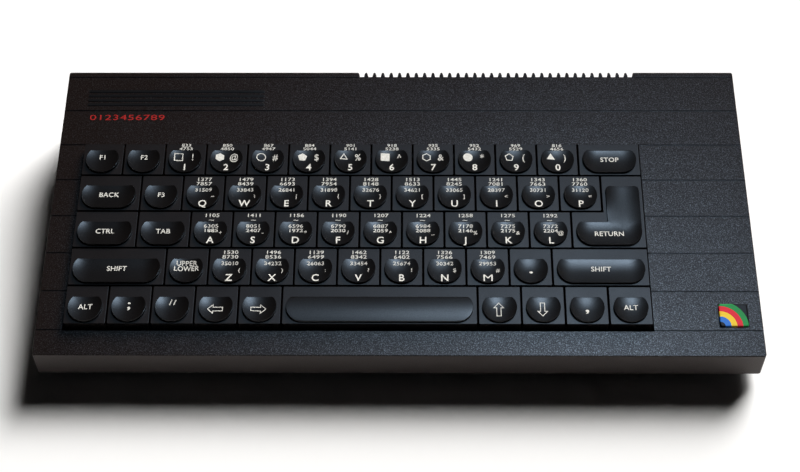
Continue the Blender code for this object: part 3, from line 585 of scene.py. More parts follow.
@dataclass(frozen=True)
class MouldedPlastic:
    """Moulded plastic with a spark-grained or smooth skin."""

    name: str
    dark: tuple[float, float, float]
    light: tuple[float, float, float]
    roughness: float = 0.55
    gloss: float = 0.4
    grain: float = 0.0006
    grain_depth: float = 0.00006
    grain_strength: float = 0.5
    shine: float = 0.03
    sparkle: float = 0.1
    spark_lift: float = 1.0
    spark_span: tuple[float, float] = (0.36, 0.64)
    cloud_scale: float = 60.0
    cloud_share: float = 0.35
    wave_strength: float = 0.04
    wave_scale: float = 4.0

    def make(self) -> bpy.types.Material:
        """Return the material: fleck colour, sparkling grain, uneven shine and faint waves."""
        recipe = Recipe(self.name)
        place = recipe.place()
        fleck = recipe.noise(self.grain, 2.0, 0.6, place)
        cloud = recipe.noise(self.grain * self.cloud_scale, 3.0, 0.55, place)
        both = recipe.node("ShaderNodeMath", operation="MULTIPLY_ADD", use_clamp=True)
        recipe.link(cloud, both.inputs[0])
        both.inputs[1].default_value = self.cloud_share
        recipe.link(recipe.spread(fleck, -0.15, 0.85), both.inputs[2])
        peak = self.gloss * (1.0 + self.sparkle * self.spark_lift)
        waves = recipe.bump(cloud, self.wave_strength, self.grain_depth * self.wave_scale)
        recipe.feed(
            Base_Color=recipe.blend(both.outputs[0], self.dark, self.light),
            Roughness=recipe.spread(cloud, self.roughness - self.shine, self.roughness + self.shine),
            Specular_IOR_Level=recipe.spread(fleck, self.gloss * (1.0 - self.sparkle), peak, *self.spark_span),
            Normal=recipe.bump(fleck, self.grain_strength, self.grain_depth, waves),
        )
        return recipe.material


@dataclass(frozen=True)
class PadPrint:
    """Pad-printed ink, a little uneven."""

    name: str
    colour: tuple[float, float, float]
    worn: tuple[float, float, float]

    def make(self) -> bpy.types.Material:
        """Return the ink's material."""
        recipe = Recipe(self.name)
        recipe.put(Roughness=0.5, Specular_IOR_Level=0.3)
        wear = recipe.spread(recipe.noise(0.0009, 3.0, 0.6), 0.0, 1.0, 0.35, 0.62)
        recipe.feed(Base_Color=recipe.blend(wear, self.worn, self.colour))
        return recipe.material


@dataclass(frozen=True)
class BadgeEnamel:
    """Glossy badge with bands of colour round one corner."""

    name: str = "badge_enamel"
    corner: tuple[float, float] = (0.0, 0.0)
    reach: float = 0.0128
    bands: tuple[tuple[float, float, float], ...] = (
        (0.035, 0.175, 0.640), (0.880, 0.600, 0.030), (0.690, 0.020, 0.035), (0.020, 0.250, 0.060),
    )
    ground: tuple[float, float, float] = (0.010, 0.010, 0.012)

    def make(self) -> bpy.types.Material:
        """Return the material, whose bands are rings about a point of the deck."""
        recipe = Recipe(self.name)
        recipe.put(Roughness=0.42, Specular_IOR_Level=0.2)
        centre = DECK.matrix @ Matrix.Translation((*self.corner, 0.0))
        flat = recipe.node("ShaderNodeVectorMath", operation="MULTIPLY")
        recipe.link(recipe.place(centre), flat.inputs[0])
        flat.inputs[1].default_value = (1.0 / self.reach, 1.0 / self.reach, 0.0)
        away = recipe.node("ShaderNodeVectorMath", operation="LENGTH")
        recipe.link(flat.outputs[0], away.inputs[0])
        ramp = recipe.node("ShaderNodeValToRGB")
        ramp.color_ramp.interpolation = "CONSTANT"
        stops = [(0.0, self.ground), (0.16, self.bands[0]), (0.36, self.bands[1]), (0.56, self.bands[2]),
                 (0.76, self.bands[3]), (0.96, self.ground)]
        ramp.color_ramp.elements[0].color = (*stops[0][1], 1.0)
        ramp.color_ramp.elements[1].position = stops[-1][0]
        ramp.color_ramp.elements[1].color = (*stops[-1][1], 1.0)
        for position, colour in stops[1:-1]:
            ramp.color_ramp.elements.new(position).color = (*colour, 1.0)
        recipe.link(away.outputs["Value"], ramp.inputs["Fac"])
        recipe.feed(Base_Color=ramp.outputs["Color"],
                    Normal=recipe.bump(recipe.noise(0.002, 1.0), 0.05, 0.00005))
        return recipe.material


@dataclass(frozen=True)
class Metal:
    """Bare or plated metal with fine brushed marks."""

    name: str
    dark: tuple[float, float, float]
    light: tuple[float, float, float]
    roughness: float = 0.3
    grain: float = 0.0008

    def make(self) -> bpy.types.Material:
        """Return the metal's material."""
        recipe = Recipe(self.name)
        recipe.put(Metallic=1.0)
        marks = recipe.noise(self.grain, 4.0, 0.7)
        recipe.feed(
            Base_Color=recipe.blend(marks, self.dark, self.light),
            Roughness=recipe.spread(marks, self.roughness - 0.08, self.roughness + 0.1),
            Normal=recipe.bump(marks, 0.1, 0.00002),
        )
        return recipe.material


@dataclass(frozen=True)
class BoardResin:
    """Green lacquered resin board with copper tracks that run both ways under the lacquer."""

    name: str = "board_lacquer"
    lacquer: tuple[float, float, float] = (0.006, 0.055, 0.020)
    track: tuple[float, float, float] = (0.016, 0.130, 0.042)
    track_pitch: float = 0.00127

    def make(self) -> bpy.types.Material:
        """Return the material, whose tracks come from a brick pattern with wandering lengths."""
        recipe = Recipe(self.name)
        recipe.put(Specular_IOR_Level=0.5)
        bricks = recipe.node("ShaderNodeTexBrick", offset=0.37, offset_frequency=3, squash=1.0)
        for name, value in (("Scale", 1.0 / self.track_pitch), ("Mortar Size", 0.18), ("Mortar Smooth", 0.15),
                            ("Brick Width", 11.0), ("Row Height", 1.0)):
            bricks.inputs[name].default_value = value
        recipe.link(recipe.place(), bricks.inputs["Vector"])
        patches = recipe.spread(recipe.noise(0.016, 1.0), 0.0, 1.0, 0.47, 0.50)
        shown = recipe.node("ShaderNodeMath", operation="MULTIPLY")
        recipe.link(bricks.outputs["Fac"], shown.inputs[0])
        recipe.link(patches, shown.inputs[1])
        recipe.feed(
            Base_Color=recipe.blend(shown.outputs[0], self.lacquer, self.track),
            Roughness=recipe.spread(recipe.noise(0.003, 2.0), 0.28, 0.40),
            Normal=recipe.bump(shown.outputs[0], 0.4, 0.00003),
        )
        return recipe.material


class Finishes:
    """The materials of the whole object, made once."""

    def __init__(self) -> None:
        """Make every material."""
        self.case = MouldedPlastic(
            "case_skin", (0.0085, 0.0046, 0.0034), (0.0118, 0.0070, 0.0052), 0.35, 0.405, 0.00045, 0.00010, 0.6,
            0.015, 0.42, 6.0, (0.51, 0.73),
        ).make()
        # The walls are the top's plastic with a smoother skin; their colour, about three times lighter and warmer
        # than the top's, is painted light standing in for the light on the front face.
        self.side = MouldedPlastic(
            "side_skin_painted_lighter", (0.0285, 0.0168, 0.0140), (0.0330, 0.0204, 0.0172), 0.70, 1.0, 0.0005, 0.00002, 0.25,
        ).make()
        self.base = MouldedPlastic(
            "tray_skin", (0.0095, 0.0085, 0.0080), (0.0150, 0.0135, 0.0126), 0.6, 0.4, 0.0006, 0.00006, 0.5,
        ).make()
        self.key_side = MouldedPlastic(
            "key_skin", (0.0078, 0.0052, 0.0044), (0.0100, 0.0070, 0.0060), 0.40, 0.40, 0.0004, 0.00002, 0.3,
        ).make()
        self.key_pad = MouldedPlastic(
            "pad_skin", (0.0045, 0.0036, 0.0034), (0.0060, 0.0050, 0.0048), 0.33, 0.52, 0.0005, 0.00001, 0.2,
        ).make()
        self.frame = MouldedPlastic(
            "frame_skin", (0.003, 0.003, 0.003), (0.006, 0.006, 0.006), 0.7, 0.2,
        ).make()
        self.ink = PadPrint("white_print", (0.78, 0.77, 0.72), (0.60, 0.59, 0.55)).make()
        self.red_ink = PadPrint("red_print", (0.42, 0.020, 0.016), (0.30, 0.015, 0.012)).make()
        self.leg = MouldedPlastic(
            "leg_skin", (0.010, 0.010, 0.011), (0.022, 0.022, 0.024), 0.5, 0.4, 0.0005, 0.00004, 0.4,
        ).make()
        self.button = MouldedPlastic(
            "button_skin", (0.010, 0.010, 0.011), (0.018, 0.018, 0.020), 0.4, 0.45, 0.0004, 0.00002, 0.3,
        ).make()
        self.board = BoardResin().make()
        self.chip = MouldedPlastic(
            "chip_skin", (0.012, 0.012, 0.013), (0.020, 0.020, 0.021), 0.55, 0.3, 0.0003, 0.00002, 0.4,
        ).make()
        self.nylon = MouldedPlastic(
            "nylon_skin", (0.36, 0.35, 0.31), (0.42, 0.41, 0.37), 0.45, 0.4, 0.0004, 0.00001, 0.2,
        ).make()
        self.rubber = MouldedPlastic(
            "rubber_skin", (0.016, 0.016, 0.016), (0.028, 0.028, 0.027), 0.8, 0.2, 0.0005, 0.00004, 0.6,
        ).make()
        self.mat = MouldedPlastic(
            "mat_skin", (0.20, 0.20, 0.19), (0.26, 0.26, 0.25), 0.7, 0.25, 0.0005, 0.00003, 0.5,
        ).make()
        self.film = MouldedPlastic(
            "film_skin", (0.26, 0.30, 0.33), (0.34, 0.38, 0.41), 0.3, 0.5, 0.0006, 0.00001, 0.2,
        ).make()
        self.clay = MouldedPlastic(
            "ceramic_skin", (0.42, 0.27, 0.13), (0.52, 0.35, 0.18), 0.5, 0.4, 0.0004, 0.00002, 0.3,
        ).make()
        self.sleeve = MouldedPlastic(
            "sleeve_skin", (0.010, 0.030, 0.110), (0.014, 0.040, 0.140), 0.35, 0.5, 0.0004, 0.00001, 0.2,
        ).make()
        self.tin = Metal("tinned_steel", (0.52, 0.52, 0.50), (0.66, 0.66, 0.64), 0.32).make()
        self.zinc = Metal("zinc_steel", (0.42, 0.43, 0.45), (0.56, 0.57, 0.58), 0.38).make()
        self.aluminium = Metal("plain_aluminium", (0.70, 0.71, 0.72), (0.80, 0.81, 0.82), 0.42).make()
        self.gold = Metal("gold_plate", (0.80, 0.55, 0.20), (0.92, 0.68, 0.29), 0.24).make()


# Keyboard


@dataclass(frozen=True)
class KeySizes:
    """The sizes that all keys share, with heights above the top's plane."""

    pitch: float = 0.01913
    row_pitch: float = 0.0191
    gap: float = 0.0008
    base: float = 0.0036
    skirt: float = 0.0028
    wall: float = 0.0013
    trim: float = 0.0017
    stem: float = 0.0056
    stem_low: float = -0.0094
    stem_high: float = 0.0025
    pad_side: float = 0.0016
    pad_front: float = 0.0006
    pad_ledge: float = 0.0055
    pad_flat: float = 0.0006
    pad_rear_corner: float = 0.0007
    pad_step: float = 0.0002
    pad_sink: float = 0.0004
    lip: float = 0.0011
    side: float = 0.0012
    rear_rise: float = 0.00043
    rear_reach: float = 0.55
    space_edge: float = 0.0011
    space_crown: float = 0.0005
    enter_blend: float = 0.0170
    enter_corner: float = 0.0025
    guide_share: float = 0.36

    @property
    def pad_radius(self) -> float:
        """Return the radius of a pad's round ends."""
        return (self.pitch - self.gap - self.pad_flat) / 2 - self.pad_side

    @property
    def length(self) -> float:
        """Return a key's length down the slope."""
        return self.row_pitch - self.gap

    @property
    def rear(self) -> float:
        """Return the y of a pad's rear edge."""
        return self.length / 2 - self.pad_ledge

    @property
    def front(self) -> float:
        """Return the y of a pad's front edge."""
        return self.pad_front - self.length / 2


@dataclass
class KeyCap:
    """One form of key: a hollow base, a dished pad on it and a stem inside."""

    sizes: KeySizes
    kind: KeyKind
    share: float
    finishes: Finishes
    round_sides: int = 56
    lip_insets: tuple[float, ...] = (0.00006, 0.00005, 0.00005)
    lip_lifts: tuple[float, ...] = (0.00016, 0.00008, 0.00003)
    ring_shares: tuple[float, ...] = (0.955, 0.93, 0.91, 0.89, 0.87, 0.84, 0.80, 0.74, 0.62, 0.45)
    longest_edge: float = 0.0022
    corner_round: float = 0.00045
    edge_round: float = 0.00022
    enter_centre: float = -0.0015
    stem_round: float = 0.0006
    stem_wall: float = 0.0011
    stem_bore: float = 0.006
    arm_share: float = 0.6
    corner_angle: float = 0.6
    corner_reach: float = 1.4

    @property
    def width(self) -> float:
        """Return the base's width."""
        return self.share * self.sizes.pitch - self.sizes.gap

    @property
    def arm(self) -> float:
        """Return the x of the enter base's inner arm edge."""
        return self.width / 2 - (self.sizes.pitch - self.sizes.gap)

    def height(self, x: float, y: float) -> float:
        """Return the pad's height at a place of the key.

        Args:
            x: The place across the key.
            y: The place up the slope.

        Returns:
            The height above the top's plane.
        """
        sizes = self.sizes
        half = self.width / 2 - sizes.pad_side
        if self.kind is KeyKind.SPACE:
            across = (2 * y - sizes.rear - sizes.front) / (sizes.rear - sizes.front)
            return sizes.base + sizes.space_edge + sizes.space_crown * (1.0 - across ** 2)
        floor = sizes.base + sizes.pad_step
        flat = max(half - sizes.pad_radius, 0.0)
        aside = max(abs(x) - flat, 0.0) / sizes.pad_radius
        rear_share = 1.0
        if self.kind is KeyKind.ENTER:
            middle = (self.width / 2 + self.arm) / 2
            on_arm = min(abs(x - middle) / (half - middle), 1.0) ** 2
            left = x < middle
            low = self.arm_share
            rear_share = low + (1.0 - low) * on_arm if left else low * (1.0 - on_arm)
            if y > sizes.rear:
                ramp = min((y - sizes.rear) / sizes.enter_blend, 1.0)
                ramp = ramp * ramp * (3.0 - 2.0 * ramp)
                edge = sizes.side * on_arm * (ramp if left else 1.0)
                return floor + edge + sizes.rear_rise * rear_share * (1.0 - ramp)
        forward = min(max((sizes.rear - y) / (sizes.rear - sizes.front), 0.0), 1.0)
        backward = max(1.0 - forward / sizes.rear_reach, 0.0)
        rise = sizes.lip * forward ** 2 + sizes.rear_rise * rear_share * backward ** 2
        return floor + rise + sizes.side * aside ** 2

    def make_base(self) -> bpy.types.Object:
        """Return the hollow base with soft edges."""
        sizes = self.sizes
        half = self.width / 2
        rear = sizes.length / 2 - (sizes.trim if self.kind is KeyKind.TRIMMED else 0.0)
        base = Bench.box("base", (-half, -sizes.length / 2, -sizes.skirt), (half, rear, sizes.base))
        Bench.edit(base)
        if self.kind is KeyKind.ENTER:
            Bench.slice((self.arm, 0.0, 0.0), (1.0, 0.0, 0.0))
            Bench.pick(base, Part.FACE, lambda face: (
                face.normal.y > FACING and face.calc_center_median().x > self.arm))
            Bench.extrude((0.0, sizes.row_pitch, 0.0))
        Bench.bevel(base, lambda edge: upright(edge) and sharp(edge), self.corner_round, 3)
        Bench.bevel(base, lambda edge: level(edge, sizes.base) and sharp(edge), self.edge_round, 2)
        Bench.pick(base, Part.FACE, looks_down)
        bpy.ops.mesh.delete(type="FACE")
        Bench.done()
        Bench.apply(base, "SOLIDIFY", thickness=sizes.wall, offset=-1.0, use_even_offset=True)
        Bench.paint(base, self.finishes.key_side)
        return base

    def make_bar(self, low: float, high: float) -> bpy.types.Object:
        """Return a flat bar with two round ends, cut off straight at the rear.

        Args:
            low: The height of its underside.
            high: The height of its top.

        Returns:
            The bar.
        """
        sizes = self.sizes
        half = self.width / 2 - sizes.pad_side
        Bench.clear()
        bpy.ops.mesh.primitive_cylinder_add(
            vertices=self.round_sides, radius=sizes.pad_radius / math.cos(math.pi / self.round_sides),
            depth=high - low, location=(0.0, sizes.front + sizes.pad_radius, (low + high) / 2),
            rotation=(0.0, 0.0, math.pi / self.round_sides),
        )
        bar = Bench.settle("pad")
        Bench.edit(bar)
        for side in (-1.0, 1.0):
            Bench.pick(bar, Part.VERT, lambda vert: vert.co.x * side > 0.0)
            bpy.ops.transform.translate(value=(side * (half - sizes.pad_radius), 0.0, 0.0))
        Bench.slice((0.0, sizes.rear, 0.0), (0.0, 1.0, 0.0), clear_outer=True, use_fill=True)
        Bench.done()
        return bar

    def make_pad(self) -> bpy.types.Object:
        """Return the dished pad with its rounded lip."""
        sizes = self.sizes
        low = sizes.base - sizes.pad_sink
        high = sizes.base + sizes.pad_step
        pad = self.make_bar(low, high)
        if self.kind is KeyKind.ENTER:
            arm = Bench.box("arm", (self.arm + sizes.pad_side, sizes.front + sizes.pad_radius, low),
                            (self.width / 2 - sizes.pad_side, sizes.rear + sizes.row_pitch, high))
            Bench.edit(arm)
            Bench.bevel(arm, lambda edge: upright(edge) and edge.verts[0].co.y > sizes.rear, sizes.enter_corner, 6)
            Bench.done()
            Bench.cut(pad, arm, "UNION")
        Bench.edit(pad)
        Bench.pick(pad, Part.FACE, lambda face: abs(face.normal.z) > FACING)
        bpy.ops.mesh.delete(type="ONLY_FACE")
        Bench.pick(pad, Part.EDGE, lambda edge: not edge.link_faces)
        bpy.ops.mesh.delete(type="EDGE")
        up = sizes.rear - sizes.front - sizes.pad_radius
        corner = self.width / 2 - sizes.pad_side - sizes.pad_radius + math.sqrt(sizes.pad_radius ** 2 - up ** 2)

        def near_corner(edge: bmesh.types.BMEdge) -> bool:
            """Say whether an upright edge of a round end lies close to the pad's rear corner."""
            place = edge.verts[0].co
            away = math.hypot(abs(place.x) - corner, place.y - sizes.rear)
            return upright(edge) and place.y < sizes.rear - TINY and away < self.corner_reach * sizes.pad_rear_corner

        Bench.pick(pad, Part.EDGE, near_corner)
        bpy.ops.mesh.dissolve_edges(use_verts=True)
        Bench.bevel(pad, lambda edge: upright(edge) and edge.calc_face_angle(0.0) > self.corner_angle,
                    sizes.pad_rear_corner, 4)
        while Bench.pick(pad, Part.EDGE, lambda edge: not upright(edge) and edge.calc_length() > self.longest_edge):
            bpy.ops.mesh.subdivide(number_cuts=1)
        for height in (low, high):
            Bench.pick(pad, Part.EDGE, lambda edge: level(edge, height))
            bpy.ops.mesh.edge_face_add()
        Bench.pick(pad, Part.FACE, lambda face: face.calc_center_median().z > high - TINY)
        for inset, lift in zip(self.lip_insets, self.lip_lifts):
            bpy.ops.mesh.inset(thickness=inset, depth=0.0, use_even_offset=True)
            bpy.ops.transform.translate(value=(0.0, 0.0, lift))
        centre = (0.0, (sizes.rear + sizes.front) / 2, high)
        if self.kind is KeyKind.ENTER:
            centre = (self.width / 2 - (self.width / 2 - self.arm) / 2, self.enter_centre, high)
        for share in self.ring_shares:
            Bench.extrude((0.0, 0.0, 0.0))
            bpy.ops.transform.resize(value=(share, share, 1.0), center_override=centre)
        bpy.ops.mesh.poke()
        bpy.ops.mesh.select_all(action="SELECT")
        bpy.ops.mesh.normals_make_consistent(inside=False)
        Bench.done()
        full = high + sum(self.lip_lifts)
        for vert in pad.data.vertices:
            if vert.co.z > high - TINY:
                vert.co.z += self.height(vert.co.x, vert.co.y) - full
        Bench.paint(pad, self.finishes.key_pad)
        return pad

    def make_stem(self, x: float) -> bpy.types.Object:
        """Return the square stem at an x, hollow from below.

        Args:
            x: Where its middle stands.

        Returns:
            The stem.
        """
        sizes = self.sizes
        half = sizes.stem / 2
        stem = Bench.box("stem", (x - half, -half, sizes.stem_low), (x + half, half, sizes.stem_high))
        Bench.edit(stem)
        Bench.bevel(stem, upright, self.stem_round, 3)
        Bench.pick(stem, Part.FACE, looks_down)
        Bench.inset((self.stem_wall, 0.0))
        Bench.extrude((0.0, 0.0, self.stem_bore))
        Bench.done()
        Bench.paint(stem, self.finishes.key_side)
        return stem

    def make(self) -> bpy.types.Object:
        """Return the whole key about its own origin."""
        stems = [self.make_stem(0.0)]
        if self.kind is KeyKind.SPACE:
            guide = self.sizes.guide_share * self.width
            stems += [self.make_stem(-guide), self.make_stem(guide)]
        key = Bench.join("key_model", self.make_base(), self.make_pad(), *stems)
        Bench.smooth(key)
        return key


@dataclass(frozen=True)
class Mark:
    """One printed sign: its text, its middle on the key, its height and its width share."""

    text: str
    x: float
    y: float
    size: float
    stretch: float


@dataclass
class Legends:
    """The white print on the keys, lifted onto each pad."""

    finishes: Finishes
    proud: float = 0.00010
    big: float = 0.0036
    small: float = 0.00175
    word: float = 0.0024
    boldness: float = 0.014
    cap_share: float = 0.70
    spacing: float = 1.05
    arrow_wall: float = 0.00034
    figure_wall: float = 0.0004
    figure_radius: float = 0.0022
    square_radius: float = 0.0029
    cache: dict[str, bpy.types.Mesh] = field(default_factory=dict)

    def glyphs(self, text: str) -> bpy.types.Mesh:
        """Return a text's flat mesh, one unit high and centred, made once.

        Args:
            text: The signs.

        Returns:
            The mesh, with its capitals' height as one unit.
        """
        if text in self.cache:
            return self.cache[text]
        Bench.clear()
        bpy.ops.object.text_add(location=(0.0, 0.0, 0.0))
        item = bpy.context.active_object
        item.data.body = text
        item.data.align_x = "CENTER"
        item.data.resolution_u = 3
        item.data.offset = 0.0 if "M" in text else self.boldness
        item.data.space_character = self.spacing
        bpy.ops.object.convert(target="MESH")
        item = bpy.context.active_object
        mesh = item.data.copy()
        bpy.data.objects.remove(item, do_unlink=True)
        cap = self.cap_share
        mesh.transform(Matrix.Scale(1.0 / cap, 4) @ Matrix.Translation((0.0, -cap / 2, 0.0)))
        self.cache[text] = mesh
        return mesh

    @staticmethod
    def hollow(item: bpy.types.Object, wall: float) -> None:
        """Leave only a wall along the outline of a flat sign."""
        Bench.edit(item)
        bpy.ops.mesh.select_all(action="SELECT")
        bpy.ops.mesh.inset(thickness=wall, depth=0.0, use_even_offset=True)
        bpy.ops.mesh.delete(type="FACE")
        Bench.done()

    def arrow(self, turn: float) -> bpy.types.Object:
        """Return a hollow arrow that points along an angle, made of an outline with a wall.

        Args:
            turn: The angle, with 0 to the right.

        Returns:
            The arrow, flat and centred.
        """
        half, head, shaft, neck = 0.0035, 0.0025, 0.0011, 0.0007
        Bench.clear()
        bpy.ops.mesh.primitive_plane_add(size=1.0)
        item = Bench.settle("arrow")
        outline = [(-half, -shaft), (neck, -shaft), (neck, -head), (half, 0.0), (neck, head), (neck, shaft),
                   (-half, shaft)]
        solid = bmesh.new()
        solid.faces.new([solid.verts.new((x, y, 0.0)) for x, y in outline])
        solid.to_mesh(item.data)
        solid.free()
        self.hollow(item, self.arrow_wall)
        item.data.transform(Matrix.Rotation(turn, 4, "Z"))
        return item

    def figure(self, sides: int, solid: bool) -> bpy.types.Object:
        """Return a small plain figure with some sides, filled or as an outline.

        Args:
            sides: How many sides it has.
            solid: Whether it is filled.

        Returns:
            The figure, flat and centred.
        """
        square = sides == 4
        Bench.clear()
        bpy.ops.mesh.primitive_circle_add(
            vertices=sides, radius=self.square_radius if square else self.figure_radius, fill_type="NGON",
            rotation=(0.0, 0.0, math.pi / 4 if square else 0.0),
        )
        item = Bench.settle("figure")
        if not solid:
            self.hollow(item, self.figure_wall)
        return item

    def print_on(self, name: str, cap: KeyCap, marks: Sequence[Mark],
                 drawn: Sequence[tuple[bpy.types.Object, float, float]]) -> Optional[bpy.types.Object]:
        """Print marks and drawn signs on a key about its own origin.

        Args:
            name: The print's name.
            cap: The key's form, which gives the heights.
            marks: The texts.
            drawn: Signs that are meshes already, each with its place.

        Returns:
            The print, or None where there is nothing to print.
        """
        pieces = []
        for mark in marks:
            item = Bench.add(name, self.glyphs(mark.text).copy())
            stretch = Matrix.Diagonal((mark.size * mark.stretch, mark.size, 1.0, 1.0))
            item.data.transform(Matrix.Translation((mark.x, mark.y, 0.0)) @ stretch)
            pieces.append(item)
        for item, x, y in drawn:
            item.data.transform(Matrix.Translation((x, y, 0.0)))
            pieces.append(item)
        if not pieces:
            return None
        whole = Bench.join(name, *pieces)
        sizes = cap.sizes
        half = cap.width / 2 - sizes.pad_side
        for vert in whole.data.vertices:
            x, y = vert.co.x, vert.co.y
            on_pad = y < sizes.rear - TINY and abs(x) < half
            if cap.kind is KeyKind.ENTER and y > sizes.rear:
                on_pad = x > cap.arm + sizes.pad_side
            vert.co.z = (cap.height(x, y) if on_pad else sizes.base) + self.proud
        whole.data.shade_flat()
        Bench.paint(whole, self.finishes.ink)
        return whole


@dataclass
class Keyboard:
    """All 58 keys with their print, and the frame that they slide in."""

    finishes: Finishes
    sizes: KeySizes = field(default_factory=KeySizes)
    well_left: float = -0.1475775
    well_right: float = 0.1116775
    well_rear: float = 0.04132
    well_front: float = 0.13822
    side_gap: float = 0.0005
    rear_gap: float = 0.0001
    rows: tuple[tuple[tuple[str, float], ...], ...] = (
        (("function_1", 1.0), ("function_2", 1.0), *((digit, 1.0) for digit in "1234567890"), ("break", 1.5)),
        (("delete", 1.5), ("graph", 1.0), *((letter, 1.0) for letter in "qwertyuiop")),
        (("extend", 1.5), ("edit", 1.25), *((letter, 1.0) for letter in "asdfghjkl"), ("enter", 1.75)),
        (("shift_left", 2.25), ("caps_lock", 1.0), *((letter, 1.0) for letter in "zxcvbnm"),
         ("full_stop", 1.0), ("shift_right", 2.25)),
        (("symbol_left", 1.0), ("semicolon", 1.0), ("quote", 1.0), ("left", 1.0), ("right", 1.0),
         ("space", 4.5), ("up", 1.0), ("down", 1.0), ("comma", 1.0), ("symbol_right", 1.0)),
    )
    fixed: tuple[str, ...] = ("function_1", "function_2", "graph", "shift_right", "symbol_right")
    words: dict[str, tuple[str, ...]] = field(default_factory=lambda: {
        "function_1": ("F1",), "function_2": ("F2",), "break": ("STOP",), "delete": ("BACK",),
        "graph": ("F3",), "extend": ("CTRL",), "edit": ("TAB",), "enter": ("RETURN",),
        "shift_left": ("SHIFT",), "shift_right": ("SHIFT",), "caps_lock": ("UPPER", "LOWER"),
        "symbol_left": ("ALT",), "symbol_right": ("ALT",),
    })
    letter_signs: dict[str, str] = field(default_factory=lambda: dict(zip(
        "qwertyuiopasdfghjklzxcvbnm",
        ("~", "\\", "|", "{", "}", "[", "]", "<", ">", "=", "+", "-", "*", "/", "^", "_", "%", "&", "@",
         "(", ")", ":", "?", "!", "$", "#"),
    )))
    digit_signs: str = ")!@#$%^&*("
    points: dict[str, tuple[tuple[str, float, float, float], ...]] = field(default_factory=lambda: {
        "semicolon": ((";", 0.0, 0.0001, 1.3),), "full_stop": ((".", 0.0, -0.0008, 1.5),),
        "quote": (("/", -0.0009, 0.0009, 0.72), ("/", 0.0009, 0.0009, 0.72)), "comma": ((",", 0.0, -0.0008, 1.5),),
    })
    ledges: tuple[tuple[float, float], ...] = ((0.00672, 0.00482), (0.00725, 0.00490))
    narrow_share: float = 0.86
    arrows: tuple[str, ...] = ("right", "up", "left", "down")
    arrow_place: tuple[float, float] = (-0.0004, -0.0024)
    figure_sides: tuple[int, ...] = (3, 4, 6, 24, 5)
    figure_place: tuple[float, float] = (-0.0031, -0.0002)
    frame_lip: float = 0.0022
    frame_depth: float = 0.0065
    frame_top: float = 0.0062
    frame_plate: float = 0.0020
    frame_wall: float = 0.0012
    stem_play: float = 0.0004

    def places(self) -> list[tuple[str, int, float, Vector]]:
        """Return each key's name, row, width share and place on the deck."""
        found = []
        for row, keys in enumerate(self.rows):
            start = 0.0
            down = self.well_rear + self.rear_gap + (row + 0.5) * self.sizes.row_pitch
            for name, share in keys:
                x = self.well_left + self.side_gap + (start + share / 2) * self.sizes.pitch
                found.append((name, row, share, Vector((x, -down, 0.0))))
                start += share
        return found

    def cap_of(self, name: str, row: int, share: float) -> KeyCap:
        """Return the form of a key."""
        kind = KeyKind.TRIMMED if row == 0 else KeyKind.PLAIN
        if name in ("space", "enter"):
            kind = KeyKind(name)
        return KeyCap(self.sizes, kind, share, self.finishes)

    def signs_of(self, name: str, row: int, legends: Legends) -> list[Mark]:
        """Return the texts of a letter's or a digit's key.

        Args:
            name: The letter or digit.
            row: Its row.
            legends: The sizes of the print.

        Returns:
            The small print on the rear ledge, and the signs on the pad.
        """
        code = ord(name.upper())
        rear, front = self.ledges[min(row, 1)]
        big, small = legends.big, legends.small
        narrow = small * (self.narrow_share if row == 0 else 1.0)
        marks = [Mark(f"{code * 17}", 0.0, rear, narrow, 1.35)]
        if row == 2:
            marks += [Mark("~", -0.0002, front, small, 1.6), Mark(f"{code * 97}", 0.0, 0.0014, small, 1.3),
                      Mark(f"{code * 29}", 0.0, -0.0009, small, 1.3)]
        else:
            marks.append(Mark(f"{code * 97}", 0.0, front, narrow, 1.4))
        if name.isdigit():
            return [*marks, Mark(name, 0.0, -0.0057, big, 0.95),
                    Mark(self.digit_signs[int(name)], 0.0034, -0.0002, big * 0.94, 0.85)]
        marks += [Mark(name.upper(), 0.0, -0.0060, big, 1.25 if name == "m" else 0.95),
                  Mark(self.letter_signs[name], 0.0044, -0.0022, small * 1.1, 1.0)]
        if row != 2:
            marks.append(Mark(f"{code * 389}", 0.0, 0.0013, small, 1.2))
        return marks

    def marks_of(self, name: str, row: int, legends: Legends) -> tuple[list, list]:
        """Return a key's texts and its drawn signs with their places.

        Args:
            name: The key's name.
            row: Its row.
            legends: The sizes of the print.

        Returns:
            The texts and the drawn signs.
        """
        if len(name) == 1:
            drawn = []
            if name.isdigit():
                number = int(name)
                sides = self.figure_sides[number % len(self.figure_sides)]
                drawn.append((legends.figure(sides, number % 2 == 0), *self.figure_place))
            return self.signs_of(name, row, legends), drawn
        if name in self.arrows:
            turn = self.arrows.index(name) * math.pi / 2
            return [], [(legends.arrow(turn), *self.arrow_place)]
        if name in self.words:
            lines = self.words[name]
            single = {"enter": -0.0024, "function_1": -0.0002, "function_2": -0.0002}.get(name, -0.0013)
            heights = (single,) if len(lines) == 1 else (0.00125, -0.00145)
            stretch = 1.0 if len(lines) == 1 else 0.92
            return [Mark(text, 0.0, y, legends.word, stretch) for text, y in zip(lines, heights)], []
        return [Mark(sign, x, y, legends.big * share, 1.3) for sign, x, y, share in self.points.get(name, ())], []

    def make_keys(self) -> None:
        """Make every key with its print, each riding on its own body."""
        legends = Legends(self.finishes)
        models: dict[tuple[KeyKind, float], bpy.types.Object] = {}
        for name, row, share, spot in self.places():
            cap = self.cap_of(name, row, share)
            if (cap.kind, share) not in models:
                models[cap.kind, share] = cap.make()
            place = DECK.matrix @ Matrix.Translation(spot)
            key = Bench.copy(models[cap.kind, share], f"cap_{name}", place)
            body = "case" if name in self.fixed else f"key_{name}"
            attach(key, body)
            if name not in self.fixed:
                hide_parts(body)
            ink = legends.print_on(f"print_{name}", cap, *self.marks_of(name, row, legends))
            if ink is not None:
                ink.data.transform(place)
                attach(ink, body)
            log.info("key %s rides on %s", name, body)
        Bench.remove(*models.values())

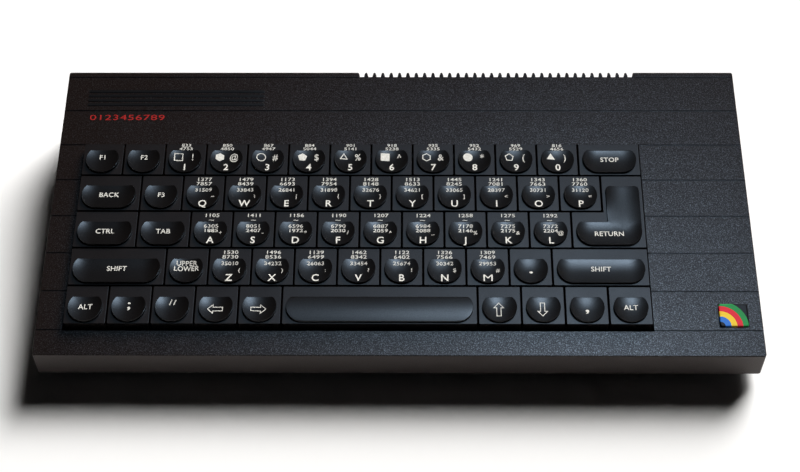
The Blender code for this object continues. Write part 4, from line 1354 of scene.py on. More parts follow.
    def make_frame(self) -> None:
        """Make the plate in the well with a guide for each stem."""
        lip, top, under, over = self.frame_lip, self.frame_top, 0.002, 0.001
        low = Vector((self.well_left - lip, -self.well_front - lip, -top - self.frame_depth))
        high = Vector((self.well_right + lip, -self.well_rear + lip, -top))
        item = Bench.box("guide_frame", low, high)
        inner = Vector((self.frame_wall, self.frame_wall, 0.0))
        Bench.cut(item, Bench.box("hollow", low + inner - Vector((0, 0, under)),
                                  Vector((high.x, high.y, -top - self.frame_plate)) - inner))
        half = self.sizes.stem / 2 + self.stem_play
        tools = []
        for name, _, share, spot in self.places():
            guide = self.sizes.guide_share * (share * self.sizes.pitch - self.sizes.gap)
            for aside in ((-guide, 0.0, guide) if name == "space" else (0.0,)):
                x = spot.x + aside
                tools.append(Bench.box("guide", (x - half, spot.y - half, -top - self.frame_plate - over),
                                       (x + half, spot.y + half, -top + over)))
        Bench.cut(item, Bench.join("guides", *tools))
        Bench.apply(item, "BEVEL", width=0.0002, segments=1, limit_method="ANGLE")
        item.data.transform(DECK.matrix)
        Bench.paint(item, self.finishes.frame)
        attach(item, "case")
        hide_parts("key_frame")
        log.info("key frame with %d guides", len(tools))


# Case


@dataclass
class Shell:
    """The two halves of the case, the legs and the button, with softened edges."""

    finishes: Finishes
    vent_right: float = 0.1102275
    vent_pitch: float = 0.00402
    vent_count: int = 33
    vent_drop: float = 0.0078
    vent_end: float = 0.0033
    slot_start: float = 0.0027
    slot_half: float = 0.00126
    slot_reach: float = 0.0014
    slot_shift: float = 0.0006
    root_shift: float = 0.0002
    fin_radius: float = 0.0005
    fin_depth: float = 0.00055
    edge_radius: float = 0.00012
    top_tilt: float = 0.6
    foot_sole: float = 0.0004

    def make_top(self) -> None:
        """Make the upper case: tapered vent fins with round tips, soft edges, and smoother walls painted lighter
        than the top as painted light.
        """
        top = Bench.merged("upper_case", "top_shell")
        rear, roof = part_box("upper_case")[1][1:]
        left = self.vent_right - (self.vent_count - 0.5) * self.vent_pitch
        right = self.vent_right + self.vent_pitch / 2
        inward = DECK.matrix.inverted()
        Bench.edit(top)
        for x in (left, right):
            Bench.slice((x, 0.0, 0.0), (1.0, 0.0, 0.0))

        def slot_end(vert: bmesh.types.BMVert, centre: float) -> bool:
            """Say whether a vert belongs to the inner end of the slot at a centre."""
            place = inward @ vert.co
            return (abs(place.x - centre) < self.slot_reach and -self.vent_end < place.y < -self.slot_start
                    and place.z > -self.vent_drop)

        for index in range(self.vent_count):
            centre = self.vent_right - index * self.vent_pitch
            if Bench.pick(top, Part.VERT, lambda vert: slot_end(vert, centre)):
                bpy.ops.transform.translate(value=DECK.matrix.to_3x3() @ Vector((0.0, self.slot_shift, 0.0)))
                share = 1.0 - self.root_shift / self.slot_half
                bpy.ops.transform.resize(value=(share, 1.0, 1.0), center_override=(centre, 0.0, 0.0))

        def fin_corner(edge: bmesh.types.BMEdge) -> bool:
            """Say whether an edge is a rear corner of a vent fin."""
            across = [abs(face.normal.x) > FACING for face in edge.link_faces]
            return (any(across) and not all(across)
                    and all(vert.co.y > rear - self.fin_depth and vert.co.z > roof - self.vent_drop
                            and left < vert.co.x < right for vert in edge.verts))

        picked = Bench.bevel(top, fin_corner, self.fin_radius, 4)
        Bench.done()
        Bench.soften(top, self.edge_radius, 40.0)
        Bench.smooth(top, 45.0)
        Bench.paint(top, self.finishes.case)
        # Faces that do not look up take the wall skin, whose lighter colour is painted light for the front face.
        top.data.materials.append(self.finishes.side)
        for face in top.data.polygons:
            face.material_index = 0 if face.normal.z > self.top_tilt else 1
        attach(top, "case")
        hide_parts("upper_case")
        log.info("top shell with %d fin edges rounded", picked)

    def make_rest(self) -> None:
        """Make the lower case, the legs and the reset button with soft edges."""
        for node, name, body, slot, material, radius in (
            ("lower_case", "bottom_shell", "case", "base_plastic", self.finishes.base, 0.00015),
            ("left_leg", "fold_leg_left", "left_leg", "leg_plastic", self.finishes.leg, 0.0003),
            ("right_leg", "fold_leg_right", "right_leg", "leg_plastic", self.finishes.leg, 0.0003),
            ("reset_button", "reset_knob", "reset_button", "button_plastic", self.finishes.button, 0.0002),
        ):
            piece = Bench.refine(node, name, radius)
            if node == "lower_case":
                Bench.edit(piece)
                if Bench.pick(piece, Part.VERT, lambda vert: vert.co.z < self.foot_sole):
                    bpy.ops.transform.translate(value=(0.0, 0.0, self.foot_sole))
                Bench.done()
            Bench.paint(piece, material)
            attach(piece, body)
            log.info("%s stands for %s", name, node)


@dataclass
class CaseTrim:
    """What dresses the outside of the case: the badge, the ribs and the red numbers."""

    finishes: Finishes
    badge_middle: tuple[float, float] = (0.14688, -0.13062)
    badge_size: tuple[float, float] = (0.0126, 0.0111)
    badge_floor: float = -0.0006
    badge_rise: float = 0.0006
    badge_corner: float = 0.0012
    badge_dome: tuple[tuple[float, float], ...] = (
        (0.00006, 0.00010), (0.00014, 0.00010), (0.00025, 0.00008), (0.0004, 0.00004),
    )
    band_inset: float = 0.0002
    rib_count: int = 4
    rib_span: tuple[float, float] = (-0.1487, -0.0647)
    rib_first: float = -0.0113
    rib_pitch: float = 0.0025
    rib_half: float = 0.0007
    rib_floor: float = -0.0004
    rib_rise: float = 0.00025
    rib_corner: float = 0.0006
    rib_round: float = 0.00015
    number_middle: tuple[float, float] = (-0.1292, -0.0262)
    number_width: float = 0.0355
    number_height: float = 0.0030
    number_rise: float = 0.00005

    def make_badge(self) -> None:
        """Make the badge, domed at its edges, in its recess."""
        x, y = self.badge_middle
        half_x, half_y = self.badge_size[0] / 2, self.badge_size[1] / 2
        badge = Bench.box("badge", (x - half_x, y - half_y, self.badge_floor),
                          (x + half_x, y + half_y, self.badge_rise))
        Bench.edit(badge)
        Bench.bevel(badge, upright, self.badge_corner, 6)
        Bench.pick(badge, Part.FACE, looks_up)
        for inset, lift in self.badge_dome:
            Bench.inset((inset, 0.0))
            bpy.ops.transform.translate(value=(0.0, 0.0, lift))
        Bench.done()
        badge.data.transform(DECK.matrix)
        corner = (x - half_x + self.band_inset, y - half_y + self.band_inset)
        Bench.dress(badge, BadgeEnamel(corner=corner).make())

    def make_strip(self) -> None:
        """Make the plain ribs in relief at the upper left of the top."""
        left, right = self.rib_span
        ribs = []
        for index in range(self.rib_count):
            y = self.rib_first - index * self.rib_pitch
            ribs.append(Bench.box("relief", (left, y - self.rib_half, self.rib_floor),
                                  (right, y + self.rib_half, self.rib_rise)))
            Bench.edit(ribs[-1])
            Bench.bevel(ribs[-1], upright, self.rib_corner, 4)
            Bench.bevel(ribs[-1], lambda edge: level(edge, self.rib_rise), self.rib_round, 2)
            Bench.done()
        strip = Bench.join("relief_ribs", *ribs)
        strip.data.transform(DECK.matrix)
        Bench.dress(strip, self.finishes.key_pad, 32.0)

    def make_numbers(self) -> None:
        """Print the row of plain red numbers under the ribs."""
        mesh = Legends(self.finishes, boldness=0.0).glyphs("0123456789").copy()
        across = [vert.co.x for vert in mesh.vertices]
        share = self.number_width / (max(across) - min(across))
        mesh.transform(Matrix.Diagonal((share, self.number_height, 1.0, 1.0)))
        mesh.transform(DECK.matrix @ Matrix.Translation((*self.number_middle, self.number_rise)))
        item = Bench.add("red_numbers", mesh)
        Bench.paint(item, self.finishes.red_ink)
        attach(item, "case")
        log.info("red numbers")


# Under the keys


@dataclass
class KeyMechanism:
    """What lies under the keys: rubber domes, their mat, the switch film and the steel plate."""

    finishes: Finishes
    keyboard: Keyboard
    mat_top: float = -0.0127
    mat_thick: float = 0.0010
    film_thick: float = 0.0003
    plate_thick: float = 0.0008
    sheet_corner: float = 0.0025
    dome_radius: float = 0.0046
    crown_radius: float = 0.0026
    crown_round: float = 0.0006
    dome_height: float = 0.0032
    dome_wall: float = 0.0006
    least_dome: float = 0.05
    stake_pitch: float = 0.0270
    stake_start: float = 0.008
    stake_margin: float = 0.012
    stake_shift: float = 0.0006
    stake_hole: float = 0.0016
    stake_radius: float = 0.0013
    stake_head: float = 0.0014
    stake_proud: float = 0.0002
    stake_round: float = 0.0003
    tail_x: float = 0.024
    tail_width: float = 0.020
    tail_thick: float = 0.00025
    tail_start: float = 0.001
    tail_path: tuple[tuple[float, float], ...] = (
        (0.0, 0.0), (0.0030, 0.0006), (0.0060, 0.0012), (0.0090, 0.0012), (0.0115, 0.0002), (0.0128, -0.0018),
        (0.0130, -0.0045),
    )

    def make_dome(self) -> bpy.types.Object:
        """Return one hollow rubber dome that stands on the mat's level."""
        dome = Bench.drum("dome", self.dome_radius, (0, 0, 0), (0, 0, self.dome_height), 20, self.crown_radius)
        Bench.edit(dome)
        Bench.bevel(dome, lambda edge: level(edge, self.dome_height), self.crown_round, 3)
        Bench.pick(dome, Part.FACE, looks_down)
        bpy.ops.mesh.delete(type="FACE")
        Bench.done()
        Bench.apply(dome, "SOLIDIFY", thickness=self.dome_wall, offset=-1.0)
        Bench.smooth(dome, 50.0)
        Bench.paint(dome, self.finishes.mat)
        return dome

    def make_domes(self) -> None:
        """Put a dome under every key, with a mesh of its own under each key that moves."""
        model = self.make_dome()
        for name, _, _, spot in self.keyboard.places():
            seat = spot + Vector((0.0, 0.0, self.mat_top))
            dome = Bench.copy(model, f"dome_{name}", DECK.matrix @ Matrix.Translation(seat))
            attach(dome, "case")
            if name not in self.keyboard.fixed:
                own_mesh(dome)
        Bench.remove(model)
        log.info("a dome under every key")

    def make_sheet(self, name: str, top: float, thick: float) -> bpy.types.Object:
        """Return a flat sheet under the whole keyboard with rounded corners, in the deck's frame.

        Args:
            name: Its name.
            top: The height of its upper face.
            thick: Its thickness.

        Returns:
            The sheet.
        """
        board = self.keyboard
        sheet = Bench.box(name, (board.well_left, -board.well_front, top - thick),
                          (board.well_right, -board.well_rear, top))
        Bench.edit(sheet)
        Bench.bevel(sheet, upright, self.sheet_corner, 5)
        Bench.done()
        return sheet

    def stake_places(self) -> list[tuple[float, float]]:
        """Return where the frame's stakes come through the plate."""
        board = self.keyboard
        rows = [-board.well_rear - self.stake_shift - board.sizes.row_pitch * row for row in (1.0, 2.0, 3.0, 4.0)]
        count = int((board.well_right - board.well_left - self.stake_margin) / self.stake_pitch) + 1
        start = board.well_left + self.stake_start
        return [(start + index * self.stake_pitch, y) for index in range(count) for y in rows]

    def make_layers(self) -> None:
        """Make the mat, the film and the plate with its stakes, one under the other."""
        film_top = self.mat_top - self.mat_thick
        plate_top = film_top - self.film_thick
        low = plate_top - self.plate_thick
        below, above = 0.002, 0.001
        for name, top, thick, material in (
            ("dome_mat", self.mat_top, self.mat_thick, self.finishes.mat),
            ("switch_film", film_top, self.film_thick, self.finishes.film),
            ("steel_plate", plate_top, self.plate_thick, self.finishes.zinc),
        ):
            sheet = self.make_sheet(name, top, thick)
            if name == "steel_plate":
                holes = [Bench.drum("hole", self.stake_hole, (x, y, top - below), (x, y, top + above), 12)
                         for x, y in self.stake_places()]
                Bench.cut(sheet, Bench.join("holes", *holes))
            sheet.data.transform(DECK.matrix)
            Bench.dress(sheet, material, 35.0)
        whole = Bench.join("heat_stakes", *(
            Bench.drum("stake", self.stake_radius, (x, y, plate_top), (x, y, low - self.stake_proud), 12,
                       self.stake_head) for x, y in self.stake_places()))
        Bench.apply(whole, "BEVEL", width=self.stake_round, segments=2, limit_method="ANGLE")
        whole.data.transform(DECK.matrix)
        Bench.dress(whole, self.finishes.frame, 35.0)

    def make_tails(self) -> None:
        """Make the two film tails that drop into their sockets on the board."""
        film_middle = self.mat_top - self.mat_thick - self.film_thick / 2
        start = DECK.matrix @ Vector((0.0, -self.keyboard.well_rear - self.tail_start, film_middle))
        tails = []
        for side in (-1.0, 1.0):
            path = [Vector((side * self.tail_x, start.y + dy, start.z + dz)) for dy, dz in self.tail_path]
            tails.append(Bench.ribbon("tail", self.tail_width, self.tail_thick, path))
        Bench.dress(Bench.join("film_tails", *tails), self.finishes.film, 35.0)

    def make_stabiliser(self) -> None:
        """Make the bent steel wire that keeps the space bar level, clipped inside it."""
        spot = next(spot for name, _, _, spot in self.keyboard.places() if name == "space")
        radius, half, front, rear, height = 0.0006, 0.034, -0.0060, -0.0020, -0.0008
        wire = Bench.drum("space_stabiliser", radius, (-half, front, height), (half, front, height), 12)
        for x in (-half, half):
            Bench.cut(wire, Bench.drum("arm", radius, (x, front - radius, height), (x, rear, height), 12), "UNION")
        wire.data.transform(DECK.matrix @ Matrix.Translation(spot))
        Bench.dress(wire, self.finishes.zinc, 50.0, "key_space")


# Board


@dataclass
class MainBoard:
    """The circuit board with what is soldered on it."""

    finishes: Finishes
    top: float = 0.0092
    thick: float = 0.0016
    sunk: float = 0.0002
    pin_pitch: float = 0.00254
    long_chips: tuple[tuple[float, float], ...] = ((-0.0448, 0.03428), (0.0112, 0.03428), (0.07392, 0.01058))
    long_width: float = 0.0140
    long_pins: int = 20
    short_start: float = -0.09632
    short_step: float = 0.010976
    short_count: int = 8
    short_y: float = 0.01058
    short_width: float = 0.00694
    short_pins: int = 7
    tongue_x: float = 0.0060
    tongue_width: float = 0.0640
    jack_x: tuple[float, ...] = (-0.0620, -0.0470)
    tv_x: float = -0.0850
    can_half: float = 0.0163
    power_x: float = 0.0740
    socket_y: float = 0.07395
    socket_z: float = 0.0147
    sink_x: float = 0.1040
    cans: tuple[tuple[float, float, float, float], ...] = (
        (0.046, 0.0560, 0.0050, 0.0130), (0.058, 0.0570, 0.0040, 0.0115), (-0.006, 0.0575, 0.0032, 0.0110),
        (0.004, 0.0575, 0.0032, 0.0110), (0.089, 0.0590, 0.0050, 0.0130), (-0.0385, 0.0570, 0.0026, 0.0090),
        (0.089, 0.0475, 0.0032, 0.0110),
    )
    neck: tuple[float, float, float] = (0.0012, 0.0016, 0.0020)
    neck_share: float = 0.88
    wire: float = 0.00025
    resistor_radius: float = 0.00085
    resistor_half: float = 0.0030
    resistor_rise: float = 0.0011
    resistor_waist: float = 0.0018
    lead_x: float = 0.0042
    lead_reach: float = 0.0011

    def make_solid(self) -> None:
        """Make the board and its large parts from the solid, each part in its own finish."""
        finishes = self.finishes
        board = Bench.refine("circuit_board", "main_board", 0.00012)
        Bench.paint(board, finishes.board)
        for material in (finishes.chip, finishes.tin, finishes.aluminium, finishes.nylon):
            board.data.materials.append(material)
        chip, tin, aluminium, nylon = 1, 2, 3, 4
        top, sky = self.top, 0.05
        rim, pin, sink = 0.0052, 0.0011, 0.0010
        zones = (
            (chip, (-0.20, -0.10, top + 0.0001), (0.20, 0.10, sky)),
            (tin, (self.tv_x - self.can_half, 0.047, top), (self.tv_x + self.can_half, 0.0738, sky)),
            (nylon, (self.tv_x - rim, 0.0738, top), (self.tv_x + rim, 0.0742, sky)),
            (tin, (self.power_x - pin, 0.0640, self.socket_z - pin),
             (self.power_x + pin, 0.0738, self.socket_z + pin)),
            (aluminium, (self.sink_x - sink, 0.0390, top), (self.sink_x + sink, 0.0670, sky)),
            (nylon, (-0.0362, 0.0448, top), (-0.0118, 0.0502, 0.02)),
            (nylon, (0.0118, 0.0448, top), (0.0362, 0.0502, 0.02)),
        )
        for face in board.data.polygons:
            face.material_index = 0
            for index, low, high in zones:
                if all(least <= value <= most for least, value, most in zip(low, face.center, high)):
                    face.material_index = index
        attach(board, "case")
        log.info("main board")

    def make_pins(self) -> None:
        """Make the bent tinned pins of every chip."""
        half, front, rear, bend, high, reach, tip_share = 0.0006, 0.0005, 0.0008, 0.0016, 0.0019, 0.0006, 0.45
        model = Bench.box("pin", (-half, front, -self.sunk), (half, rear, high))
        Bench.edit(model)
        Bench.slice((0.0, 0.0, bend), (0.0, 0.0, 1.0))
        Bench.pick(model, Part.FACE, lambda face: face.normal.y < -FACING and face.calc_center_median().z > bend)
        Bench.extrude((0.0, -reach, 0.0))
        Bench.pick(model, Part.VERT, lambda vert: vert.co.z < 0.0)
        bpy.ops.transform.resize(value=(tip_share, 1.0, 1.0), center_override=(0.0, 0.0, 0.0))
        Bench.done()
        pins = []

        def line(x: float, y: float, turn: float, across: float, count: int) -> None:
            """Set pins on both long sides of a chip whose length runs along a turned x.

            Args:
                x: The chip's middle across the board.
                y: The chip's middle along the board.
                turn: The angle of its length.
                across: The distance between its two lines of pins.
                count: How many pins each line has.
            """
            for side in (0.0, math.pi):
                for index in range(count):
                    along = (index - (count - 1) / 2) * self.pin_pitch
                    place = (Matrix.Translation((x, y, self.top)) @ Matrix.Rotation(turn + side, 4, "Z")
                             @ Matrix.Translation((along, across / 2, 0.0)))
                    pins.append(Bench.copy(model, "pin", place))

        for x, y in self.long_chips:
            line(x, y, 0.0, self.long_width, self.long_pins)
        for index in range(self.short_count):
            x = self.short_start + index * self.short_step
            line(x, self.short_y, math.pi / 2, self.short_width, self.short_pins)
        Bench.remove(model)
        Bench.dress(Bench.join("chip_pins", *pins), self.finishes.tin)

    def make_contacts(self) -> None:
        """Make the gold contacts on both faces of the rear tongue."""
        count, margin, half, front, rear, thin = 25, 0.004, 0.00075, 0.0645, 0.0729, 0.00005
        pitch = (self.tongue_width - margin) / (count - 1)
        contacts = []
        for low in (self.top, self.top - self.thick - thin):
            for index in range(count):
                x = self.tongue_x + (index - (count - 1) / 2) * pitch
                contacts.append(Bench.box("finger", (x - half, front, low), (x + half, rear, low + thin)))
        whole = Bench.join("edge_contacts", *contacts)
        Bench.edit(whole)
        Bench.bevel(whole, upright, 0.0004, 3)
        Bench.done()
        Bench.dress(whole, self.finishes.gold)

    def make_sockets(self) -> None:
        """Make the metal rims of the sockets and the lid of the screened can."""
        face, height = self.socket_y, self.socket_z
        jack = (0.0033, 0.0018, 0.0004, 28)
        television = (0.0049, 0.0041, 0.0005, 32)
        rings = []
        for x, (outer, bore, proud, sides) in (*((x, jack) for x in self.jack_x), (self.tv_x, television)):
            rings.append(Bench.tube("ring", outer, bore, (x, face - self.sunk, height),
                                    (x, face + proud, height), sides))
        whole = Bench.join("socket_rims", *rings)
        Bench.apply(whole, "BEVEL", width=0.0001, segments=2, limit_method="ANGLE")
        Bench.dress(whole, self.finishes.zinc)
        front, rear, low, high = 0.0474, 0.0719, 0.0228, 0.0261
        lid = Bench.box("can_lid", (self.tv_x - self.can_half, front, low), (self.tv_x + self.can_half, rear, high))
        Bench.edit(lid)
        Bench.bevel(lid, sharp, 0.0005, 3)
        Bench.pick(lid, Part.FACE, lambda face: face.normal.z > 0.99)
        Bench.inset((0.0035, 0.0), (0.0008, -0.0005))
        Bench.done()
        Bench.dress(lid, self.finishes.tin)

    def make_capacitors(self) -> None:
        """Make the upright capacitors with a crimped neck and a scored top."""
        cans = []
        for x, y, radius, height in self.cans:
            can = Bench.drum("can", radius, (x, y, self.top - self.sunk), (x, y, self.top + height), 28)
            Bench.edit(can)
            for rise in self.neck:
                Bench.slice((x, y, self.top + rise), (0.0, 0.0, 1.0))
            Bench.pick(can, Part.EDGE, lambda edge: level(edge, self.top + self.neck[1]))
            bpy.ops.transform.resize(value=(self.neck_share, self.neck_share, 1.0), center_override=(x, y, self.top))
            Bench.bevel(can, lambda edge: level(edge, self.top + height), 0.0004, 3)
            Bench.pick(can, Part.FACE, lambda face: looks_up(face) and len(face.verts) > 4)
            Bench.inset((radius * 0.14, -0.0002))
            Bench.done()
            cans.append(can)
        Bench.dress(Bench.join("capacitors", *cans), self.finishes.sleeve, 35.0)

    def make_resistor(self, x: float, y: float) -> list[bpy.types.Object]:
        """Return a resistor's waisted body at a place of the board, and its two bent leads.

        Args:
            x: The place of its middle across the board.
            y: The place of its middle along the board.

        Returns:
            The body, then the leads.
        """
        z, wire = self.top + self.resistor_rise, self.wire
        body = Bench.drum("body", self.resistor_radius, (x - self.resistor_half, y, z),
                          (x + self.resistor_half, y, z), 14)
        Bench.edit(body)
        for cut in (-self.resistor_waist, self.resistor_waist):
            Bench.slice((x + cut, y, z), (1.0, 0.0, 0.0))
        Bench.pick(body, Part.VERT, lambda vert: abs(vert.co.x - x) < self.resistor_waist + 10 * TINY)
        bpy.ops.transform.resize(value=(1.0, 0.84, 0.84), center_override=(x, y, z))
        Bench.pick(body, Part.FACE, lambda face: abs(face.normal.x) > FACING)
        Bench.inset((0.0003, 0.0002))
        Bench.done()
        pieces = [body]
        for side in (-1.0, 1.0):
            end = x + side * self.lead_x
            lead = Bench.box("lead", (end - wire, y - wire, self.top - self.sunk), (end + wire, y + wire, z + wire))
            Bench.edit(lead)
            Bench.slice((end, y, z - wire), (0.0, 0.0, 1.0))
            Bench.pick(lead, Part.FACE, lambda face: (
                face.normal.x * side < -FACING and face.calc_center_median().z > z - wire))
            Bench.extrude((-side * self.lead_reach, 0.0, 0.0))
            Bench.done()
            pieces.append(lead)
        return pieces

    def make_crystal(self) -> bpy.types.Object:
        """Return the crystal's can, with round ends and a raised top."""
        crystal = Bench.box("crystal", (0.0630, 0.0535, self.top - 0.0001), (0.0730, 0.0580, self.top + 0.0125))
        Bench.edit(crystal)
        Bench.bevel(crystal, upright, 0.0020, 6)
        Bench.pick(crystal, Part.FACE, looks_up)
        Bench.inset((0.0006, 0.0))
        bpy.ops.transform.translate(value=(0.0, 0.0, 0.0004))
        Bench.done()
        return crystal

    def make_small_parts(self) -> None:
        """Make the resistors with their leads, the crystal and the regulator on its heat sink."""
        count, start, pitch, gap, row, stagger = 16, -0.094, 0.0120, 0.004, -0.0130, 0.0035
        bodies, leads = [], []
        for index in range(count):
            x = start + index * pitch + (gap if index >= count // 2 else 0.0)
            body, *pair = self.make_resistor(x, row - stagger * (index % 2))
            bodies.append(body)
            leads += pair
        Bench.dress(Bench.join("resistors", *bodies), self.finishes.clay)
        top, back = self.top, self.sink_x - 0.00075
        front, middle, rear, middle_z = 0.0480, 0.0531, 0.0582, self.top + 0.0126
        crystal = self.make_crystal()
        tab = Bench.box("tab", (self.sink_x - 0.0022, front, top + 0.0105), (back, rear, top + 0.0147))
        Bench.cut(tab, Bench.drum("hole", 0.0018, (self.sink_x - 0.004, middle, middle_z),
                                  (self.sink_x + 0.001, middle, middle_z), 20))
        legs = [Bench.box("leg", (self.sink_x - 0.0036, y - 0.0004, top - self.sunk),
                          (self.sink_x - 0.0030, y + 0.0004, top + 0.0025)) for y in (0.0505, middle, 0.0557)]
        Bench.dress(Bench.join("metal_parts", crystal, tab, *leads, *legs), self.finishes.tin)
        block = Bench.box("regulator", (self.sink_x - 0.0052, front, top + 0.0020), (back, rear, top + 0.0108))
        Bench.edit(block)
        Bench.bevel(block, lambda edge: all(vert.co.x < self.sink_x - 0.005 for vert in edge.verts), 0.0006, 2)
        Bench.done()
        Bench.dress(block, self.finishes.chip)


# Underside


@dataclass
class Underside:
    """The feet and the screws, seen from below, and the screws that hold the board."""

    finishes: Finishes
    screw_places: tuple[tuple[float, float], ...] = (
        (-0.11616, 0.06268), (0.11616, 0.06268), (0.12401, -0.04323), (-0.12872, -0.06705), (-0.01884, -0.06705),
        (0.08163, -0.06705),
    )
    seat: float = 0.0041
    board_places: tuple[tuple[float, float], ...] = (
        (-0.10304, -0.01858), (0.10304, -0.01858), (-0.05376, 0.02328), (0.1006, 0.05331),
    )
    board_top: float = 0.0092
    head_radius: float = 0.0025
    head_height: float = 0.0011
    head_round: float = 0.0007
    cross_long: float = 0.0014
    cross_short: float = 0.0003
    cross_depth: float = 0.0008
    shank_radius: float = 0.0010
    shank_length: float = 0.0035
    foot_place: tuple[float, float] = (0.14548, 0.06055)
    foot_radius: float = 0.00575
    foot_flare: float = 0.0003
    foot_thick: float = 0.0007
    foot_rings: tuple[tuple[float, float], ...] = ((0.0009, 0.0), (0.0003, -0.0003), (0.0016, 0.0), (0.0003, 0.0003))

    def make_screw(self) -> bpy.types.Object:
        """Return a pan-head screw with a cross recess, its head up and its seat at the origin."""
        high, over = self.head_height, 0.0005
        screw = Bench.drum("screw", self.head_radius, (0, 0, 0), (0, 0, high), 28)
        Bench.edit(screw)
        Bench.bevel(screw, lambda edge: level(edge, high), self.head_round, 4)
        Bench.done()
        for x, y in ((self.cross_long, self.cross_short), (self.cross_short, self.cross_long)):
            Bench.cut(screw, Bench.box("slot", (-x, -y, high - self.cross_depth), (x, y, high + over)))
        shank = Bench.drum("shank", self.shank_radius, (0, 0, -self.shank_length), (0, 0, 0.0001), 16)
        return Bench.join("screw", screw, shank)

    def make_screws(self) -> None:
        """Put the case screws in their recesses and the board screws on the board."""
        model = self.make_screw()
        turned = Matrix.Rotation(math.pi, 4, "X")
        for name, places, height, turn in (
            ("case_screws", self.screw_places, self.seat, turned),
            ("board_screws", self.board_places, self.board_top, Matrix.Identity(4)),
        ):
            screws = [Bench.copy(model, "screw", Matrix.Translation((x, y, height)) @ turn
                                 @ Matrix.Rotation(0.7 * index, 4, "Z")) for index, (x, y) in enumerate(places)]
            Bench.dress(Bench.join(name, *screws), self.finishes.zinc, 35.0)
        Bench.remove(model)

    def make_feet(self) -> None:
        """Make the rubber pad of each foot, with a raised ring round its sole."""
        across, along = self.foot_place
        pads = []
        for x, y in ((-across, -along), (across, -along), (-across, along), (across, along)):
            pad = Bench.drum("pad", self.foot_radius + self.foot_flare, (x, y, self.foot_thick), (x, y, 0.0), 40,
                             self.foot_radius)
            Bench.edit(pad)
            Bench.bevel(pad, lambda edge: level(edge, 0.0), self.foot_flare, 3)
            Bench.pick(pad, Part.FACE, lambda face: looks_down(face) and len(face.verts) > 4)
            Bench.inset(*self.foot_rings)
            Bench.done()
            pads.append(pad)
        Bench.dress(Bench.join("rubber_feet", *pads), self.finishes.rubber)


# Studio


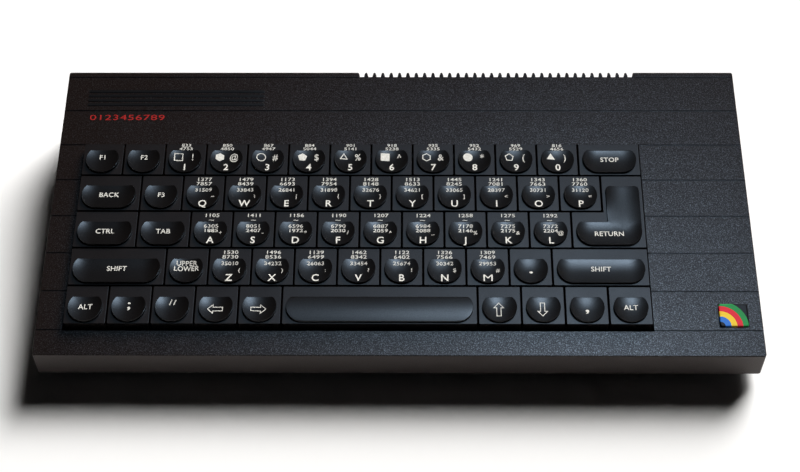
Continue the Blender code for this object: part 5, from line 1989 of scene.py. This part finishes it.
@dataclass
class Studio:
    """The floor, the lights and the camera."""

    focal: float = 1535.294
    frame_width: float = 800.0
    camera_place: tuple[float, float, float] = (0.006417, -0.43186, 0.605069)
    pitch: float = math.radians(60.568)
    yaw: float = math.radians(-1.02)
    roll: float = math.radians(-0.822)
    horizon: float = 0.0045
    zenith: float = 0.0030
    haze: tuple[float, ...] = (1.0, 0.985, 0.97, 1.0)
    daylight: tuple[float, float, float] = (1.0, 0.985, 0.965)
    window_away: tuple[float, float, float] = (0.250, 0.176, 1.262)
    window_distance: float = 1.30
    window_size: float = 0.30
    window_power: float = 7.3
    window_colour: tuple[float, float, float] = (0.61, 0.79, 1.0)
    suns: tuple[tuple[str, tuple[float, float, float], float, float], ...] = (
        ("day_light", (0.66, 1.10, 1.00), 0.50, 3.6), ("sky_light", (1.00, 1.80, 1.00), 0.56, 3.35),
    )
    floor_dark: tuple[float, float, float] = (0.955, 0.955, 0.955)
    floor_light: tuple[float, float, float] = (0.97, 0.97, 0.97)

    def make_camera(self) -> None:
        """Make the camera from its place and angles in the deck's frame."""
        ahead = Vector((math.sin(self.yaw) * math.cos(self.pitch), math.cos(self.yaw) * math.cos(self.pitch),
                        -math.sin(self.pitch)))
        right = ahead.cross(Vector((0.0, 0.0, 1.0))).normalized()
        above = right.cross(ahead)
        turned = math.cos(self.roll) * right + math.sin(self.roll) * above
        risen = -math.sin(self.roll) * right + math.cos(self.roll) * above
        turn = Matrix((turned, risen, -ahead)).transposed().to_4x4()
        data = bpy.data.cameras.new("camera")
        data.sensor_fit = "HORIZONTAL"
        data.sensor_width = 36.0
        data.lens = self.focal / self.frame_width * data.sensor_width
        data.clip_start, data.clip_end = 0.01, 20.0
        camera = Bench.add("camera", data)
        camera.matrix_world = DECK.matrix @ Matrix.Translation(self.camera_place) @ turn
        bpy.context.scene.camera = camera
        log.info("camera")

    def make_light(self, name: str, kind: str, place: Vector, power: float,
                   colour: Sequence[float]) -> bpy.types.Object:
        """Return a new light that faces the object.

        Args:
            name: Its name.
            kind: Its type.
            place: Where it stands.
            power: Its strength or its watts.
            colour: Its colour.

        Returns:
            The light.
        """
        data = bpy.data.lights.new(name, kind)
        data.energy = power
        data.color = colour
        light = Bench.add(name, data)
        light.matrix_world = Matrix.Translation(place) @ (-place).to_track_quat("-Z", "Y").to_matrix().to_4x4()
        return light

    def make_lights(self) -> None:
        """Make the window, which only shines on the skin, and two wide suns, which show in no reflection."""
        place = Vector(self.window_away).normalized() * self.window_distance
        window = self.make_light("window_light", "AREA", place, self.window_power, self.window_colour)
        window.data.shape = "SQUARE"
        window.data.size = self.window_size
        window.visible_diffuse = False
        for name, away, spread, strength in self.suns:
            sun = self.make_light(name, "SUN", Vector(away), strength, self.daylight)
            sun.data.angle = spread
            sun.visible_glossy = False

    def make_floor(self) -> None:
        """Make the pale floor, which keeps the object's shadow."""
        Bench.clear()
        bpy.ops.mesh.primitive_plane_add(size=12.0)
        floor = Bench.settle("floor")
        recipe = Recipe("pale_floor")
        recipe.put(Roughness=0.9, Specular_IOR_Level=0.0)
        recipe.feed(Base_Color=recipe.blend(recipe.noise(0.4, 2.0), self.floor_dark, self.floor_light))
        floor.data.materials.append(recipe.material)

    def make_world(self) -> None:
        """Make the surroundings: pale low down and dim overhead."""
        world = bpy.data.worlds.new("studio")
        bpy.context.scene.world = world
        world.use_nodes = True
        nodes, links = world.node_tree.nodes, world.node_tree.links
        place = nodes.new("ShaderNodeTexCoord")
        split = nodes.new("ShaderNodeSeparateXYZ")
        links.new(place.outputs["Generated"], split.inputs["Vector"])
        fade = nodes.new("ShaderNodeMapRange")
        fade.interpolation_type = "SMOOTHSTEP"
        for name, value in (("From Min", 0.05), ("From Max", 0.45), ("To Min", self.horizon),
                            ("To Max", self.zenith)):
            fade.inputs[name].default_value = value
        links.new(split.outputs["Z"], fade.inputs["Value"])
        links.new(fade.outputs["Result"], nodes["Background"].inputs["Strength"])
        nodes["Background"].inputs["Color"].default_value = self.haze

    def make(self) -> None:
        """Make the whole studio."""
        bpy.context.scene.view_settings.view_transform = "Standard"
        self.make_camera()
        self.make_world()
        self.make_floor()
        self.make_lights()


def main() -> None:
    """Build the studio and the object."""
    logging.basicConfig(level=logging.INFO, format="%(message)s")
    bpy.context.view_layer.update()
    Studio().make()
    finishes = Finishes()
    keyboard = Keyboard(finishes)
    keyboard.make_frame()
    keyboard.make_keys()
    shell = Shell(finishes)
    shell.make_top()
    shell.make_rest()
    trim = CaseTrim(finishes)
    trim.make_badge()
    trim.make_strip()
    trim.make_numbers()
    mechanism = KeyMechanism(finishes, keyboard)
    mechanism.make_domes()
    mechanism.make_layers()
    mechanism.make_tails()
    mechanism.make_stabiliser()
    board = MainBoard(finishes)
    board.make_solid()
    board.make_pins()
    board.make_contacts()
    board.make_sockets()
    board.make_capacitors()
    board.make_small_parts()
    underside = Underside(finishes)
    underside.make_screws()
    underside.make_feet()
    Bench.clear()


if __name__ == "__main__":
    main()
